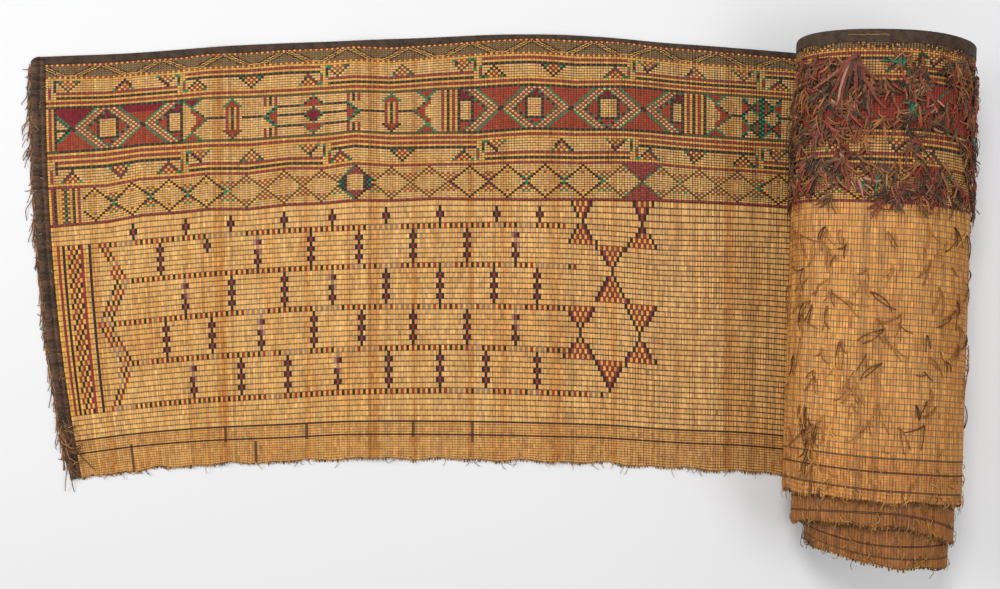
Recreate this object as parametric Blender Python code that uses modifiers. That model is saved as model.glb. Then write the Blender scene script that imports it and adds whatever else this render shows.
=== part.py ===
# A Tuareg mat of reeds and leather: one end lies out flat, the rest is wound into a loose roll.
# Metres, +Z up. X runs along the mat towards the roll, Y along the reeds towards the bound edge.
# Each piece is first drawn on the mat's flat pattern and then laid in its place in the mat.
# A point of the pattern is its distance along the mat from the first reed, its distance up the
# reeds from their lower ends, and how far it stands off the middle of the mat, with + at the front.

import math
from bisect import bisect_right
from collections import namedtuple

import bmesh
import bpy
from mathutils import Vector

# The woven mat: reeds side by side with leather thongs woven across them
THICKNESS = 0.005
BARE_REED_THICKNESS = 0.0024
REED_LENGTH = 1.045
FRAY = 0.005
CLEARANCE = 0.0003

# The flat stretch, on the X axis of the whole mat
FIRST_REED_X = -1.1215
ROLL_START_X = 0.882
FLAT_STEPS = 40

# The reeds of the flat end fan out: their lower ends drift towards the roll
FAN_DRIFT = 0.089
FAN_REACH = 0.80
FAN_BEND = 2.2

# The loose roll: an oval of wide turns that leans a little and has slid out at its lower edge
TURNS = 3.125
STEPS_PER_TURN = 24
CROWN_Z = 0.3375
CROWN_DROP_PER_TURN = 0.0205
FOOT_RISE_PER_TURN = 0.007
ROLL_LEAN = math.tan(math.radians(1.9))
LEAN_PIVOT_Y = 0.066
LEAN_STARTS_X = 0.42

# The strip of leather folded over the reeds' upper ends
BINDING_LEATHER = 0.001
BINDING_FRONT = 0.017
BINDING_BACK = 0.029

# The leather-wrapped end of the mat
END_WIDTH = 0.036
END_STEPS = 14

# The thong ends along the wrapped end lie on the floor
FRINGE_STRIP = 0.0035
FRINGE_THICKNESS = 0.002
FRINGE_PITCH = 0.026
FRINGE_TOP = 0.94
FRINGE_ROOT = 0.006
FRINGE_TIP = 0.0024

# The ragged leather ends on the back of the roll's outer turn
TUFT_STRIP = 0.008
TUFT_THICKNESS = 0.0014
TUFT_TIP = 0.004
TUFT_FIRST_STEP = 4
TUFT_LAST_STEP = 19
TUFT_ROOTS = ((0.0, 0.18), (0.5, 0.68))

# Where the lower and upper edges of the flat stretch run
Edge = namedtuple("Edge", "x lower upper")
EDGES = (
    Edge(-1.158, -0.457, 0.585),
    Edge(-0.940, -0.432, 0.593),
    Edge(-0.740, -0.418, 0.607),
    Edge(-0.540, -0.411, 0.619),
    Edge(-0.350, -0.403, 0.625),
    Edge(-0.150, -0.405, 0.634),
    Edge(0.050, -0.409, 0.641),
    Edge(0.250, -0.415, 0.634),
    Edge(0.440, -0.427, 0.617),
    Edge(0.640, -0.438, 0.602),
    Edge(0.882, -0.466, 0.579),
)

# How the roll's turns lie, a row for each quarter of a turn from the foot, up the right side first
Quarter = namedtuple("Quarter", "turn half_width centre_x lower")
QUARTERS = (
    Quarter(0.00, 0.203, 0.882, -0.466),
    Quarter(0.25, 0.203, 0.882, -0.481),
    Quarter(0.50, 0.203, 0.882, -0.460),
    Quarter(0.75, 0.202, 0.882, -0.453),
    Quarter(1.00, 0.178, 0.880, -0.512),
    Quarter(1.25, 0.188, 0.884, -0.578),
    Quarter(1.50, 0.186, 0.884, -0.518),
    Quarter(1.75, 0.181, 0.884, -0.526),
    Quarter(2.00, 0.146, 0.885, -0.580),
    Quarter(2.25, 0.165, 0.896, -0.622),
    Quarter(2.50, 0.164, 0.898, -0.611),
    Quarter(2.75, 0.160, 0.898, -0.572),
    Quarter(3.00, 0.136, 0.888, -0.595),
    Quarter(3.25, 0.138, 0.898, -0.605),
)

# Low ripples of the flat stretch, each along the reeds
Ripple = namedtuple("Ripple", "x height half_width")
RIPPLES = (
    Ripple(-0.68, 0.004, 0.11),
    Ripple(-0.32, 0.006, 0.13),
    Ripple(0.15, 0.005, 0.12),
    Ripple(0.48, 0.004, 0.11),
)

# Section of the wrapped end, from its outer side: two padded ribs with a groove between them
Rib = namedtuple("Rib", "across height")
RIBS = (
    Rib(0.000, 0.0034),
    Rib(0.003, 0.0070),
    Rib(0.009, 0.0085),
    Rib(0.015, 0.0068),
    Rib(0.019, 0.0042),
    Rib(0.022, 0.0068),
    Rib(0.028, 0.0080),
    Rib(0.033, 0.0062),
    Rib(0.036, 0.0040),
)

# Thong ends of the fringe, taken in turn: length, and degrees from the edge that they hang along
FringeEnd = namedtuple("FringeEnd", "length angle")
FRINGE_ENDS = (
    FringeEnd(0.030, 17),
    FringeEnd(0.040, 20),
    FringeEnd(0.024, 16),
    FringeEnd(0.036, 19),
    FringeEnd(0.046, 18),
    FringeEnd(0.030, 17),
    FringeEnd(0.040, 19),
    FringeEnd(0.022, 16),
    FringeEnd(0.046, 40),
)

# Rows of ragged ends: distance below the bound edge, and the longest end of the row
TuftRow = namedtuple("TuftRow", "below_edge longest")
TUFT_ROWS = (
    TuftRow(0.050, 0.042),
    TuftRow(0.104, 0.050),
    TuftRow(0.166, 0.046),
    TuftRow(0.224, 0.048),
    TuftRow(0.284, 0.042),
    TuftRow(0.338, 0.046),
)

# Ragged ends of a row, taken in turn: share of the longest, sideways slant, and lift of the tip
Tuft = namedtuple("Tuft", "share slant lift")
TUFTS = (
    Tuft(0.80, -0.26, 0.0035),
    Tuft(1.00, -0.14, 0.0060),
    Tuft(0.62, -0.02, 0.0030),
    Tuft(0.92, 0.12, 0.0075),
    Tuft(0.70, 0.24, 0.0032),
    Tuft(1.00, 0.10, 0.0050),
    Tuft(0.78, -0.10, 0.0070),
)

Station = namedtuple("Station", "x z normal_x normal_z lower upper lean drift")


# The mat's surface

def read(rows, column, at):
    """A smooth curve through one column of a table, read at a value of the table's first column."""
    knots = [row[0] for row in rows]
    values = [getattr(row, column) for row in rows]
    i = min(max(bisect_right(knots, at) - 1, 0), len(knots) - 2)

    def slope(k):
        before, after = max(k - 1, 0), min(k + 1, len(knots) - 1)
        return (values[after] - values[before]) / (knots[after] - knots[before])

    span = knots[i + 1] - knots[i]
    t = (at - knots[i]) / span
    return (
        values[i] * (2 * t**3 - 3 * t**2 + 1)
        + values[i + 1] * (3 * t**2 - 2 * t**3)
        + slope(i) * span * (t**3 - 2 * t**2 + t)
        + slope(i + 1) * span * (t**3 - t**2)
    )


def ease(share):
    share = min(max(share, 0.0), 1.0)
    return share * share * (3 - 2 * share)


def flat_line(x):
    """Middle of the mat's thickness in the flat stretch, as X and Z."""
    lift = sum(ripple.height * ease(1 - abs(x - ripple.x) / ripple.half_width) for ripple in RIPPLES)
    return x, THICKNESS / 2 + lift


def roll_line(turn):
    """Middle of the mat's thickness in the roll, as X and Z, from the foot of the roll inwards."""
    angle = 2 * math.pi * turn
    foot = THICKNESS / 2 + FOOT_RISE_PER_TURN * turn
    crown = CROWN_Z - CROWN_DROP_PER_TURN * (turn - 0.5)
    x = read(QUARTERS, "centre_x", turn) + read(QUARTERS, "half_width", turn) * math.sin(angle)
    return x, foot + (crown - foot) * (1 - math.cos(angle)) / 2


def station_on(line, at, lower, upper, lean, drift):
    """One place along the mat, with the way its front faces there."""
    step = 0.001
    before, after = line(at - step), line(at + step)
    along = Vector((after[0] - before[0], after[1] - before[1])).normalized()
    x, z = line(at)
    return Station(x, z, -along.y, along.x, lower, upper, lean, drift)


def flat_station(x):
    lean = ROLL_LEAN * ease((x - LEAN_STARTS_X) / (ROLL_START_X - LEAN_STARTS_X))
    drift = FAN_DRIFT * max(0.0, 1 - (x - FIRST_REED_X) / FAN_REACH) ** 2
    return station_on(flat_line, x, read(EDGES, "lower", x), read(EDGES, "upper", x), lean, drift)


def roll_station(turn):
    lower = read(QUARTERS, "lower", turn)
    return station_on(roll_line, turn, lower, lower + REED_LENGTH, ROLL_LEAN, 0.0)


def all_stations():
    """Places along the whole mat, and the distance of each from the first reed."""
    flat_length = ROLL_START_X - FIRST_REED_X
    roll_steps = round(TURNS * STEPS_PER_TURN)
    stations = [flat_station(FIRST_REED_X + flat_length * i / FLAT_STEPS) for i in range(FLAT_STEPS)]
    stations += [roll_station(i / STEPS_PER_TURN) for i in range(roll_steps + 1)]
    distances = [0.0]
    for near, far in zip(stations, stations[1:]):
        distances.append(distances[-1] + math.dist(near[:2], far[:2]))
    return stations, distances


def point_at(station, up, off):
    share = up / REED_LENGTH
    y = station.lower + share * (station.upper - station.lower)
    drift = station.drift * max(0.0, 1 - share) ** FAN_BEND
    x = station.x + station.normal_x * off + station.lean * (y - LEAN_PIVOT_Y) + drift
    return Vector((x, y, station.z + station.normal_z * off))


def place(along, up, off):
    """Where a point of the flat pattern comes to lie."""
    i = min(max(bisect_right(distances, along) - 1, 0), len(distances) - 2)
    share = (along - distances[i]) / (distances[i + 1] - distances[i])
    near, far = point_at(stations[i], up, off), point_at(stations[i + 1], up, off)
    return near + (far - near) * share


# Making a piece

def material(name, color, roughness):
    made = bpy.data.materials.new(name)
    made.use_nodes = True
    shader = made.node_tree.nodes["Principled BSDF"]
    shader.inputs["Base Color"].default_value = (*color, 1)
    shader.inputs["Roughness"].default_value = roughness
    shader.inputs["Metallic"].default_value = 0
    return made


def cut_sheet(pattern):
    """A sheet through the pattern's points, still flat. pattern[i][k] is one point."""
    lengthwise, crosswise = len(pattern) - 1, len(pattern[0]) - 1
    sheet = bmesh.new()
    bmesh.ops.create_grid(sheet, x_segments=lengthwise, y_segments=crosswise, size=0.5)
    corners = {}
    for corner in sheet.verts:
        i = round((corner.co.x + 0.5) * lengthwise)
        k = round((corner.co.y + 0.5) * crosswise)
        corner.co = pattern[i][k]
        corners[i, k] = corner
    return sheet, corners


def draw_out(sheet, root, pairs):
    """Draws a tongue out of one edge of a sheet, from its root through pairs of side points."""
    for pair in pairs:
        grown = bmesh.ops.extrude_edge_only(sheet, edges=[sheet.edges.get(root)])["geom"]
        tip = [part for part in grown if isinstance(part, bmesh.types.BMVert)]
        tip.sort(key=lambda corner: (corner.co - root[0].co).length)
        for corner, point in zip(tip, pair):
            corner.co = point
        root = tip


def lay(sheet, name, finish):
    """Lays a piece from the flat pattern into its place in the mat."""
    for corner in sheet.verts:
        corner.co = place(*corner.co)
    bmesh.ops.recalc_face_normals(sheet, faces=sheet.faces)
    mesh = bpy.data.meshes.new(name)
    sheet.to_mesh(mesh)
    sheet.free()
    mesh.shade_smooth()
    mesh.materials.append(finish)
    piece = bpy.data.objects.new(name, mesh)
    piece.parent = floor_point
    collection.objects.link(piece)
    return piece


def thicken(piece, thickness):
    """Gives a sheet its thickness, half to each side."""
    solid = piece.modifiers.new("Thickness", "SOLIDIFY")
    solid.thickness = thickness
    solid.offset = 0
    solid.use_even_offset = True
    return solid


# The pieces

def make_mat():
    """The woven mat. Along its upper edge the reeds are bare, under the leather folded over them."""
    woven_top = REED_LENGTH - BINDING_BACK - CLEARANCE
    levels = [woven_top * share for share in (0.0, 0.14, 0.32, 0.58, 1.0)]
    levels += [REED_LENGTH - BINDING_BACK, REED_LENGTH - BINDING_LEATHER - CLEARANCE]
    pattern = []
    for i, along in enumerate(distances):
        column = [Vector((along, up, 0)) for up in levels]
        column[0].y += FRAY * math.sin(2.4 * i) * math.cos(0.7 * i)
        pattern.append(column)
    sheet, corners = cut_sheet(pattern)
    sheet.verts.index_update()
    woven = [corner.index for (i, k), corner in corners.items() if levels[k] <= woven_top]
    bare = [corner.index for (i, k), corner in corners.items() if levels[k] > woven_top]
    mat = lay(sheet, "mat", reed)
    fullness = mat.vertex_groups.new(name="fullness")
    fullness.add(woven, 1, "REPLACE")
    fullness.add(bare, 0, "REPLACE")
    solid = thicken(mat, THICKNESS)
    solid.vertex_group = fullness.name
    solid.thickness_vertex_group = BARE_REED_THICKNESS / THICKNESS
    return mat


def make_top_binding():
    """A strip of leather folded over the bare reed ends, from the wrapped end to the heart of the roll."""
    off = (THICKNESS - BINDING_LEATHER) / 2
    fold = REED_LENGTH - BINDING_LEATHER / 2
    section = (
        (REED_LENGTH - BINDING_FRONT, off),
        (fold, off),
        (fold, -off),
        (REED_LENGTH - BINDING_BACK + 2 * CLEARANCE, -off),
    )
    sheet, corners = cut_sheet([[(along, up, off) for up, off in section] for along in distances])
    return thicken(lay(sheet, "top_binding", dark_leather), BINDING_LEATHER)


def make_end_binding():
    """The mat's end wrapped in leather: two padded ribs on a flat foot."""
    floor = -THICKNESS / 2
    outer = -CLEARANCE - END_WIDTH
    ring = [(outer + rib.across, floor + rib.height) for rib in RIBS]
    ring += [(outer + END_WIDTH, floor), (outer, floor), ring[0]]
    pattern = []
    for i in range(END_STEPS + 1):
        up = REED_LENGTH * i / END_STEPS
        pattern.append([(along, up, off) for along, off in ring])
    sheet, corners = cut_sheet(pattern)
    bmesh.ops.remove_doubles(sheet, verts=sheet.verts, dist=0.0001)
    bmesh.ops.holes_fill(sheet, edges=sheet.edges)
    binding = lay(sheet, "end_binding", dark_leather)
    binding.data.set_sharp_from_angle(angle=math.radians(40))
    return binding


def make_end_fringe():
    """Thong ends along the wrapped end, and the narrow strip of thong that they grow from."""
    off = (FRINGE_THICKNESS - THICKNESS) / 2
    inner = -END_WIDTH - 2 * CLEARANCE
    outer = inner - FRINGE_STRIP
    count = round(FRINGE_TOP / FRINGE_PITCH)
    levels = []
    for i in range(count):
        up = FRINGE_TOP - FRINGE_PITCH * i
        levels += [up, up - FRINGE_ROOT]
    sheet, corners = cut_sheet([[(inner, up, off), (outer, up, off)] for up in levels])
    for i in range(count):
        end = FRINGE_ENDS[i % len(FRINGE_ENDS)]
        angle = math.radians(end.angle)
        root = [corners[2 * i, 1], corners[2 * i + 1, 1]]
        middle = (root[0].co + root[1].co) / 2
        tip = middle + end.length * Vector((-math.sin(angle), -math.cos(angle), 0))
        side = FRINGE_TIP / 2 * Vector((-math.cos(angle), math.sin(angle), 0))
        draw_out(sheet, root, [(tip + side, tip - side)])
    return thicken(lay(sheet, "end_fringe", thong), FRINGE_THICKNESS)


def make_tuft_row(number, row):
    """A narrow strip across the back of the roll's outer turn, with ragged ends that hang from it."""
    off = -(THICKNESS + TUFT_THICKNESS) / 2 - CLEARANCE
    upper = REED_LENGTH - row.below_edge
    lower = upper - TUFT_STRIP
    shares = [share for root in TUFT_ROOTS for share in root]
    stops = []
    for step in range(FLAT_STEPS + TUFT_FIRST_STEP, FLAT_STEPS + TUFT_LAST_STEP):
        span = distances[step + 1] - distances[step]
        stops += [distances[step] + share * span for share in shares]
    sheet, corners = cut_sheet([[(along, upper, off), (along, lower, off)] for along in stops])
    for i in range(0, len(stops), 2):
        tuft = TUFTS[(i // 2 + 3 * number) % len(TUFTS)]
        length = tuft.share * row.longest
        root = [corners[i, 1], corners[i + 1, 1]]
        middle = (root[0].co + root[1].co) / 2
        half_root = (root[1].co - root[0].co) / 2
        half_tip = Vector((TUFT_TIP / 2, 0, 0))
        pairs = []
        for share in (0.5, 1.0):
            tip = middle + length * share * Vector((tuft.slant, -1, 0)) - Vector((0, 0, tuft.lift * share))
            side = half_root.lerp(half_tip, share)
            pairs.append((tip - side, tip + side))
        draw_out(sheet, root, pairs)
    return thicken(lay(sheet, f"tuft_row_{number}", dyed_leather), TUFT_THICKNESS)


def stand_on_origin():
    """Moves the mat so that the middle of its box is over the origin."""
    bpy.context.view_layer.update()
    view = bpy.context.evaluated_depsgraph_get()
    boxes = [piece.evaluated_get(view).bound_box for piece in collection.objects if piece.type == "MESH"]
    for axis in (0, 1):
        places = [corner[axis] for box in boxes for corner in box]
        floor_point.location[axis] = -(min(places) + max(places)) / 2


for old in list(bpy.data.objects):
    bpy.data.objects.remove(old, do_unlink=True)

collection = bpy.data.collections.new("tuareg_mat")
bpy.context.scene.collection.children.link(collection)
floor_point = bpy.data.objects.new("floor_point", None)
collection.objects.link(floor_point)

reed = material("Woven reed", (0.50, 0.29, 0.10), 0.65)
dark_leather = material("Dark leather", (0.075, 0.052, 0.038), 0.7)
thong = material("Brown thong", (0.13, 0.07, 0.035), 0.75)
dyed_leather = material("Dyed leather", (0.21, 0.075, 0.055), 0.75)

stations, distances = all_stations()
make_mat()
make_top_binding()
make_end_binding()
make_end_fringe()
for number, row in enumerate(TUFT_ROWS, start=1):
    make_tuft_row(number, row)
stand_on_origin()
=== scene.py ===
import math
import random
from functools import partial
import bpy
import numpy as np
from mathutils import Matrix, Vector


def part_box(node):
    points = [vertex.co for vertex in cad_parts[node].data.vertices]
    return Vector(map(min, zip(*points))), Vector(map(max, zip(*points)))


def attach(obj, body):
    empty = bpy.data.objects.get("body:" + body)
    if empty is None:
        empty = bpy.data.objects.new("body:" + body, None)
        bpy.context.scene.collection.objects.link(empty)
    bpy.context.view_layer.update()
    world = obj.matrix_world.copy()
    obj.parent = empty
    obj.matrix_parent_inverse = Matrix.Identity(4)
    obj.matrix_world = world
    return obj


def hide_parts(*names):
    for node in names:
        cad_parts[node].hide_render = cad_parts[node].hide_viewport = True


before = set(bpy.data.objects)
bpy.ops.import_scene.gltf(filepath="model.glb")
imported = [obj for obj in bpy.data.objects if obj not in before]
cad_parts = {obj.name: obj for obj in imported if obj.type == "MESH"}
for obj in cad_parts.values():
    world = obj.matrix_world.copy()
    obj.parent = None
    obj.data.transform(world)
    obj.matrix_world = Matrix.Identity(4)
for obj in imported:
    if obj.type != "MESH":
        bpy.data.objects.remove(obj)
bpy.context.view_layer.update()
print("frame loaded")

flatReeds = 301  # reeds on the flat stretch
allReeds = 800  # a few more than the mat has
firstRow = -2.0  # rows are counted down from the lower edge of the leather strip
patternRows = 68  # rows of the patterned band, and then the plain field
closeRow = 110  # from here down the rows lie half as far apart
lastRow = 117.5  # the lower ends of the reeds
seeds = {"rowEnds": 11, "checks": 5, "reeds": 3, "cells": 9, "relief": 17, "stripBack": 31,
         "stripFolds": 40, "seam": 8, "torn": 71, "loose": 23, "end": 47, "fibres": 5}

# How the mat lies, with the same sizes as its solid. A point of the mat is given by its distance along
# it from the first reed, its distance up the reeds, and how far it is off the middle, + on the front.
mat = {
    "thickness": 0.005,
    "reedLength": 1.045,
    "reedPitch": 0.00665,
    "firstReedX": -1.1215,
    "rollStartX": 0.882,
    "fanDrift": 0.089,
    "fanReach": 0.80,
    "fanBend": 2.2,
    "turns": 3.125,
    "crownZ": 0.3375,
    "crownDrop": 0.0205,  # each turn of the roll lies this much lower at its crown
    "footRise": 0.007,
    "lean": math.tan(math.radians(1.9)),
    "leanPivotY": 0.066,
    "leanStartsX": 0.42,
    "beforeReeds": 0.06,  # the wrapped end reaches this far past the first reed
    "lowest": 0.0002,  # nothing lies nearer the floor than this
    "underStrip": 0.0012,  # the reeds end this far inside the leather strip
    "flatSteps": 640,
    "rollSteps": 1400,
}

# x, lower edge, upper edge of the flat stretch
edgeRows = np.array([
    (-1.158, -0.457, 0.585), (-0.940, -0.432, 0.593), (-0.740, -0.418, 0.607), (-0.540, -0.411, 0.619),
    (-0.350, -0.403, 0.625), (-0.150, -0.405, 0.634), (0.050, -0.409, 0.641), (0.250, -0.415, 0.634),
    (0.440, -0.427, 0.617), (0.640, -0.438, 0.602), (0.882, -0.466, 0.579),
])

# turn, half width, middle x, lower edge of the roll
turnRows = np.array([
    (0.00, 0.203, 0.882, -0.466), (0.25, 0.203, 0.882, -0.481), (0.50, 0.203, 0.882, -0.460),
    (0.75, 0.202, 0.882, -0.453), (1.00, 0.178, 0.880, -0.512), (1.25, 0.188, 0.884, -0.578),
    (1.50, 0.186, 0.884, -0.518), (1.75, 0.181, 0.884, -0.526), (2.00, 0.146, 0.885, -0.580),
    (2.25, 0.165, 0.896, -0.622), (2.50, 0.164, 0.898, -0.611), (2.75, 0.160, 0.898, -0.572),
    (3.00, 0.136, 0.888, -0.595), (3.25, 0.138, 0.898, -0.605),
])

# x, height, half width of the low ripples
ripples = ((-0.68, 0.004, 0.11), (-0.32, 0.006, 0.13), (0.15, 0.005, 0.12), (0.48, 0.004, 0.11))


def ease(share):
    share = np.clip(share, 0, 1)
    return share * share * (3 - 2 * share)


def smoothRead(rows, column, at):
    knots, values = rows[:, 0], rows[:, column]
    i = np.clip(np.searchsorted(knots, at, side="right") - 1, 0, len(knots) - 2)
    before = np.maximum(np.arange(len(knots)) - 1, 0)
    after = np.minimum(np.arange(len(knots)) + 1, len(knots) - 1)
    slope = (values[after] - values[before]) / (knots[after] - knots[before])
    span = knots[i + 1] - knots[i]
    t = (at - knots[i]) / span
    start = values[i] * (2 * t**3 - 3 * t**2 + 1) + slope[i] * span * (t**3 - 2 * t**2 + t)
    return start + values[i + 1] * (3 * t**2 - 2 * t**3) + slope[i + 1] * span * (t**3 - t**2)


def measureLie():
    flatX = np.linspace(mat["firstReedX"] - mat["beforeReeds"], mat["rollStartX"], mat["flatSteps"])[:-1]
    lift = sum(height * ease(1 - np.abs(flatX - x) / half) for x, height, half in ripples)
    turn = np.linspace(0, mat["turns"], mat["rollSteps"])
    angle = 2 * math.pi * turn
    foot = mat["thickness"] / 2 + mat["footRise"] * turn
    crown = mat["crownZ"] - mat["crownDrop"] * (turn - 0.5)
    rollX = smoothRead(turnRows, 2, turn) + smoothRead(turnRows, 1, turn) * np.sin(angle)
    rollLower = smoothRead(turnRows, 3, turn)
    x = np.concatenate([flatX, rollX])
    z = np.concatenate([mat["thickness"] / 2 + lift, foot + (crown - foot) * (1 - np.cos(angle)) / 2])
    along = np.concatenate([[0], np.cumsum(np.hypot(np.diff(x), np.diff(z)))])
    along -= np.interp(mat["firstReedX"], flatX, along[:len(flatX)])
    slopeX, slopeZ = np.gradient(x), np.gradient(z)
    length = np.hypot(slopeX, slopeZ)
    leanShare = ease((flatX - mat["leanStartsX"]) / (mat["rollStartX"] - mat["leanStartsX"]))
    fanShare = np.maximum(0, 1 - (flatX - mat["firstReedX"]) / mat["fanReach"]) ** 2
    return {
        "along": along,
        "x": x,
        "z": z,
        "normalX": -slopeZ / length,
        "normalZ": slopeX / length,
        "lower": np.concatenate([smoothRead(edgeRows, 1, flatX), rollLower]),
        "upper": np.concatenate([smoothRead(edgeRows, 2, flatX), rollLower + mat["reedLength"]]),
        "lean": np.concatenate([mat["lean"] * leanShare, np.full(len(turn), mat["lean"])]),
        "drift": np.concatenate([mat["fanDrift"] * fanShare, np.zeros(len(turn))]),
        "turn": np.concatenate([flatX * 0, turn]),
    }


lie = measureLie()
# The frame stands the mat on the middle of its box, so everything moves with these two boxes
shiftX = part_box("mat")[0][0] - mat["firstReedX"]
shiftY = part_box("top_binding")[1][1] - lie["upper"][:mat["flatSteps"]].max()


def layPoints(along, up, off=0.0):
    along, up, off = np.broadcast_arrays(along, up, off)
    at = {key: np.interp(along, lie["along"], lie[key]) for key in lie}
    share = up / mat["reedLength"]
    y = at["lower"] + share * (at["upper"] - at["lower"])
    x = at["x"] + at["normalX"] * off + at["lean"] * (y - mat["leanPivotY"])
    x = x + at["drift"] * np.maximum(0, 1 - share) ** mat["fanBend"]
    z = np.maximum(at["z"] + at["normalZ"] * off, mat["lowest"])
    return np.stack([x + shiftX, y + shiftY, z], axis=-1)


def alongAtTurn(turn):
    rollFrom = mat["flatSteps"] - 1
    return float(np.interp(turn, lie["turn"][rollFrom:], lie["along"][rollFrom:]))


# Rows of the weave, counted down from the leather strip. Each line of a table is one reed, and says
# how far down six of the pattern's rows lie there, in steps of 5.7 mm, because the rows wander.
bandStep = 0.0057
bandTop = 1.032
bandKnots = (0.5, 7.5, 19.5, 38.5, 51.5, 67.5)
bandWander = np.array([
    (-8, 1.7, 7.9, 20.2, 39.6, 55.3, 71.8), (5, 1.75, 8.0, 20.3, 39.6, 55.1, 71.5),
    (22, 2.0, 8.6, 20.5, 39.3, 55.4, 71.2), (35, 1.4, 8.0, 20.3, 38.4, 53.6, 69.4),
    (50, 1.6, 8.0, 20.2, 38.7, 53.9, 69.4), (60, 1.0, 7.7, 20.0, 38.7, 53.3, 68.8),
    (75, 1.5, 8.0, 20.5, 39.3, 54.2, 69.7), (90, 1.0, 7.4, 20.6, 38.7, 52.7, 68.5),
    (103, 1.0, 7.6, 20.2, 38.4, 53.3, 68.5), (115, 0.5, 7.1, 19.9, 37.4, 51.6, 67.7),
    (128, 1.75, 8.4, 20.9, 38.8, 53.0, 68.2), (145, 1.1, 7.4, 20.2, 39.1, 53.0, 67.7),
    (160, 0.6, 6.8, 20.2, 39.6, 53.3, 68.4), (180, -0.2, 6.3, 19.3, 38.1, 52.7, 68.7),
    (197, 0.2, 7.1, 19.9, 38.1, 52.5, 68.1), (215, -0.6, 6.0, 18.2, 36.8, 51.0, 67.0),
    (225, 0.0, 6.0, 18.0, 36.5, 50.4, 65.9), (245, 0.1, 6.8, 18.4, 36.8, 50.9, 65.3),
    (262, 0.5, 6.5, 18.2, 36.7, 50.7, 65.0), (274, 0.6, 6.0, 18.0, 36.1, 50.5, 64.7),
    (330, 0.6, 6.0, 18.0, 36.1, 50.5, 64.7),
])
# The same for the plain field: its five rows of checks, in steps of 12.6 mm, its dark lines and its end
fieldStep = 0.0126
fieldTop = 0.626
darkLines = (closeRow, 112.5, 116.0)
fieldKnots = (72.5, 80.5, 88.5, 96.5, 104.5, *darkLines, lastRow)
fieldWander = np.array([
    (30, 4.65, 12.1, 20.4, 28.5, 37.1, 42.5, 45.0, 48.3, 49.6),
    (90, 4.0, 11.6, 19.6, 28.1, 36.7, 42.4, 45.0, 48.3, 49.6),
    (150, 3.8, 11.5, 19.7, 27.7, 36.2, 42.3, 44.9, 48.3, 49.6),
    (226, 3.9, 11.8, 19.9, 28.3, 36.5, 42.3, 44.8, 48.2, 49.6),
    (275, 2.6, 11.0, 19.4, 27.8, 36.3, 42.0, 44.6, 48.0, 49.6),
    (301, 2.4, 10.9, 19.3, 27.8, 36.2, 41.9, 44.5, 47.9, 49.6),
    (350, 2.1, 10.6, 19.1, 27.7, 36.2, 42.1, 44.7, 48.1, 49.6),
    (425, 2.1, 10.5, 19.0, 27.5, 36.0, 41.9, 44.3, 47.3, 49.6),
    (535, 2.1, 10.4, 18.8, 27.0, 35.0, 40.9, 43.7, 47.0, 49.6),
    (608, 2.1, 10.5, 19.0, 27.5, 36.2, 42.6, 45.6, 47.9, 49.6),
    (690, 2.1, 10.5, 19.0, 27.5, 36.2, 42.6, 45.6, 47.9, 49.6),
    (752, 2.1, 10.5, 19.2, 28.0, 37.4, 44.3, 47.3, 48.7, 49.6),
])
fray = {"wave": 0.004, "waveReeds": 0.31, "slowReeds": 0.09, "loose": 0.0022}
rowKnots = (firstRow, 0.0, *bandKnots, patternRows, *fieldKnots)


def upOfRows(reeds, rows):
    ups = np.empty((len(reeds), len(rows)))
    loose = random.Random(seeds["rowEnds"])
    for i, reed in enumerate(reeds):
        band = [bandTop - bandStep * np.interp(reed, bandWander[:, 0], line) for line in bandWander.T[1:]]
        field = [fieldTop - fieldStep * np.interp(reed, fieldWander[:, 0], line)
                 for line in fieldWander.T[1:]]
        frayed = fray["wave"] * math.sin(fray["waveReeds"] * reed) * math.cos(fray["slowReeds"] * reed)
        field[-1] = field[-1] + frayed - loose.uniform(0, fray["loose"])
        edges = (mat["reedLength"] - mat["underStrip"], band[0] + bandStep / 2)
        ups[i] = np.interp(rows, rowKnots, [*edges, *band, band[-1] - bandStep / 2, *field])
    return ups


# The pattern, worked out cell by cell. A cell is one reed wide and one row high, and its letter is a
# key of the dyes below: b bare reed, y yellow, r red, k black, u rust, d dark red, g green, o olive,
# p worn pink.
cells = np.full((118, flatReeds + 1), "b")


def dye(row, reed, colour):
    if 0 <= row < cells.shape[0] and 0 <= reed < cells.shape[1]:
        cells[int(row), int(reed)] = colour


def stripe(row, first, last, colours="y"):
    for reed in range(first, last + 1):
        dye(row, reed, colours[reed % len(colours)])


def post(reed, first, last, colours="k"):
    for row in range(first, last + 1):
        dye(row, reed, colours[row % len(colours)])


def posts(firstReed, first, last, colours):
    for step, colour in enumerate(colours):
        post(firstReed + step, first, last, colour)


def cellsRound(rows, middle, half):
    # each cell with its distance from the middle reed
    for row in rows:
        for reed in range(int(middle - half), int(middle + half) + 1):
            yield row, reed, abs(reed + 0.5 - middle)


def nearest(reed, middles):
    return min(abs(reed + 0.5 - middle) for middle in middles)


def triangle(tipRow, baseRow, middle, half, edge="k", fill="ry"):
    # point at the tip row, widest at the base row
    steps = abs(baseRow - tipRow)
    for step in range(steps + 1):
        row = tipRow + (step if baseRow > tipRow else -step)
        reach = half * step / steps
        first, last = int(middle - reach), int(middle + reach)
        for reed in range(first, last + 1):
            dye(row, reed, edge if reed in (first, last) else fill[(reed + step) % len(fill)])


# The zigzag under the leather strip is woven at half the scale of the rest: double yellow lines
# edged with black, on a ground of olive and brown checks
zigzag = {"first": 1, "last": 6, "period": 22.85, "bottom": 9.2, "slope": 1.62, "line": 0.4, "between": 1.7}


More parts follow.
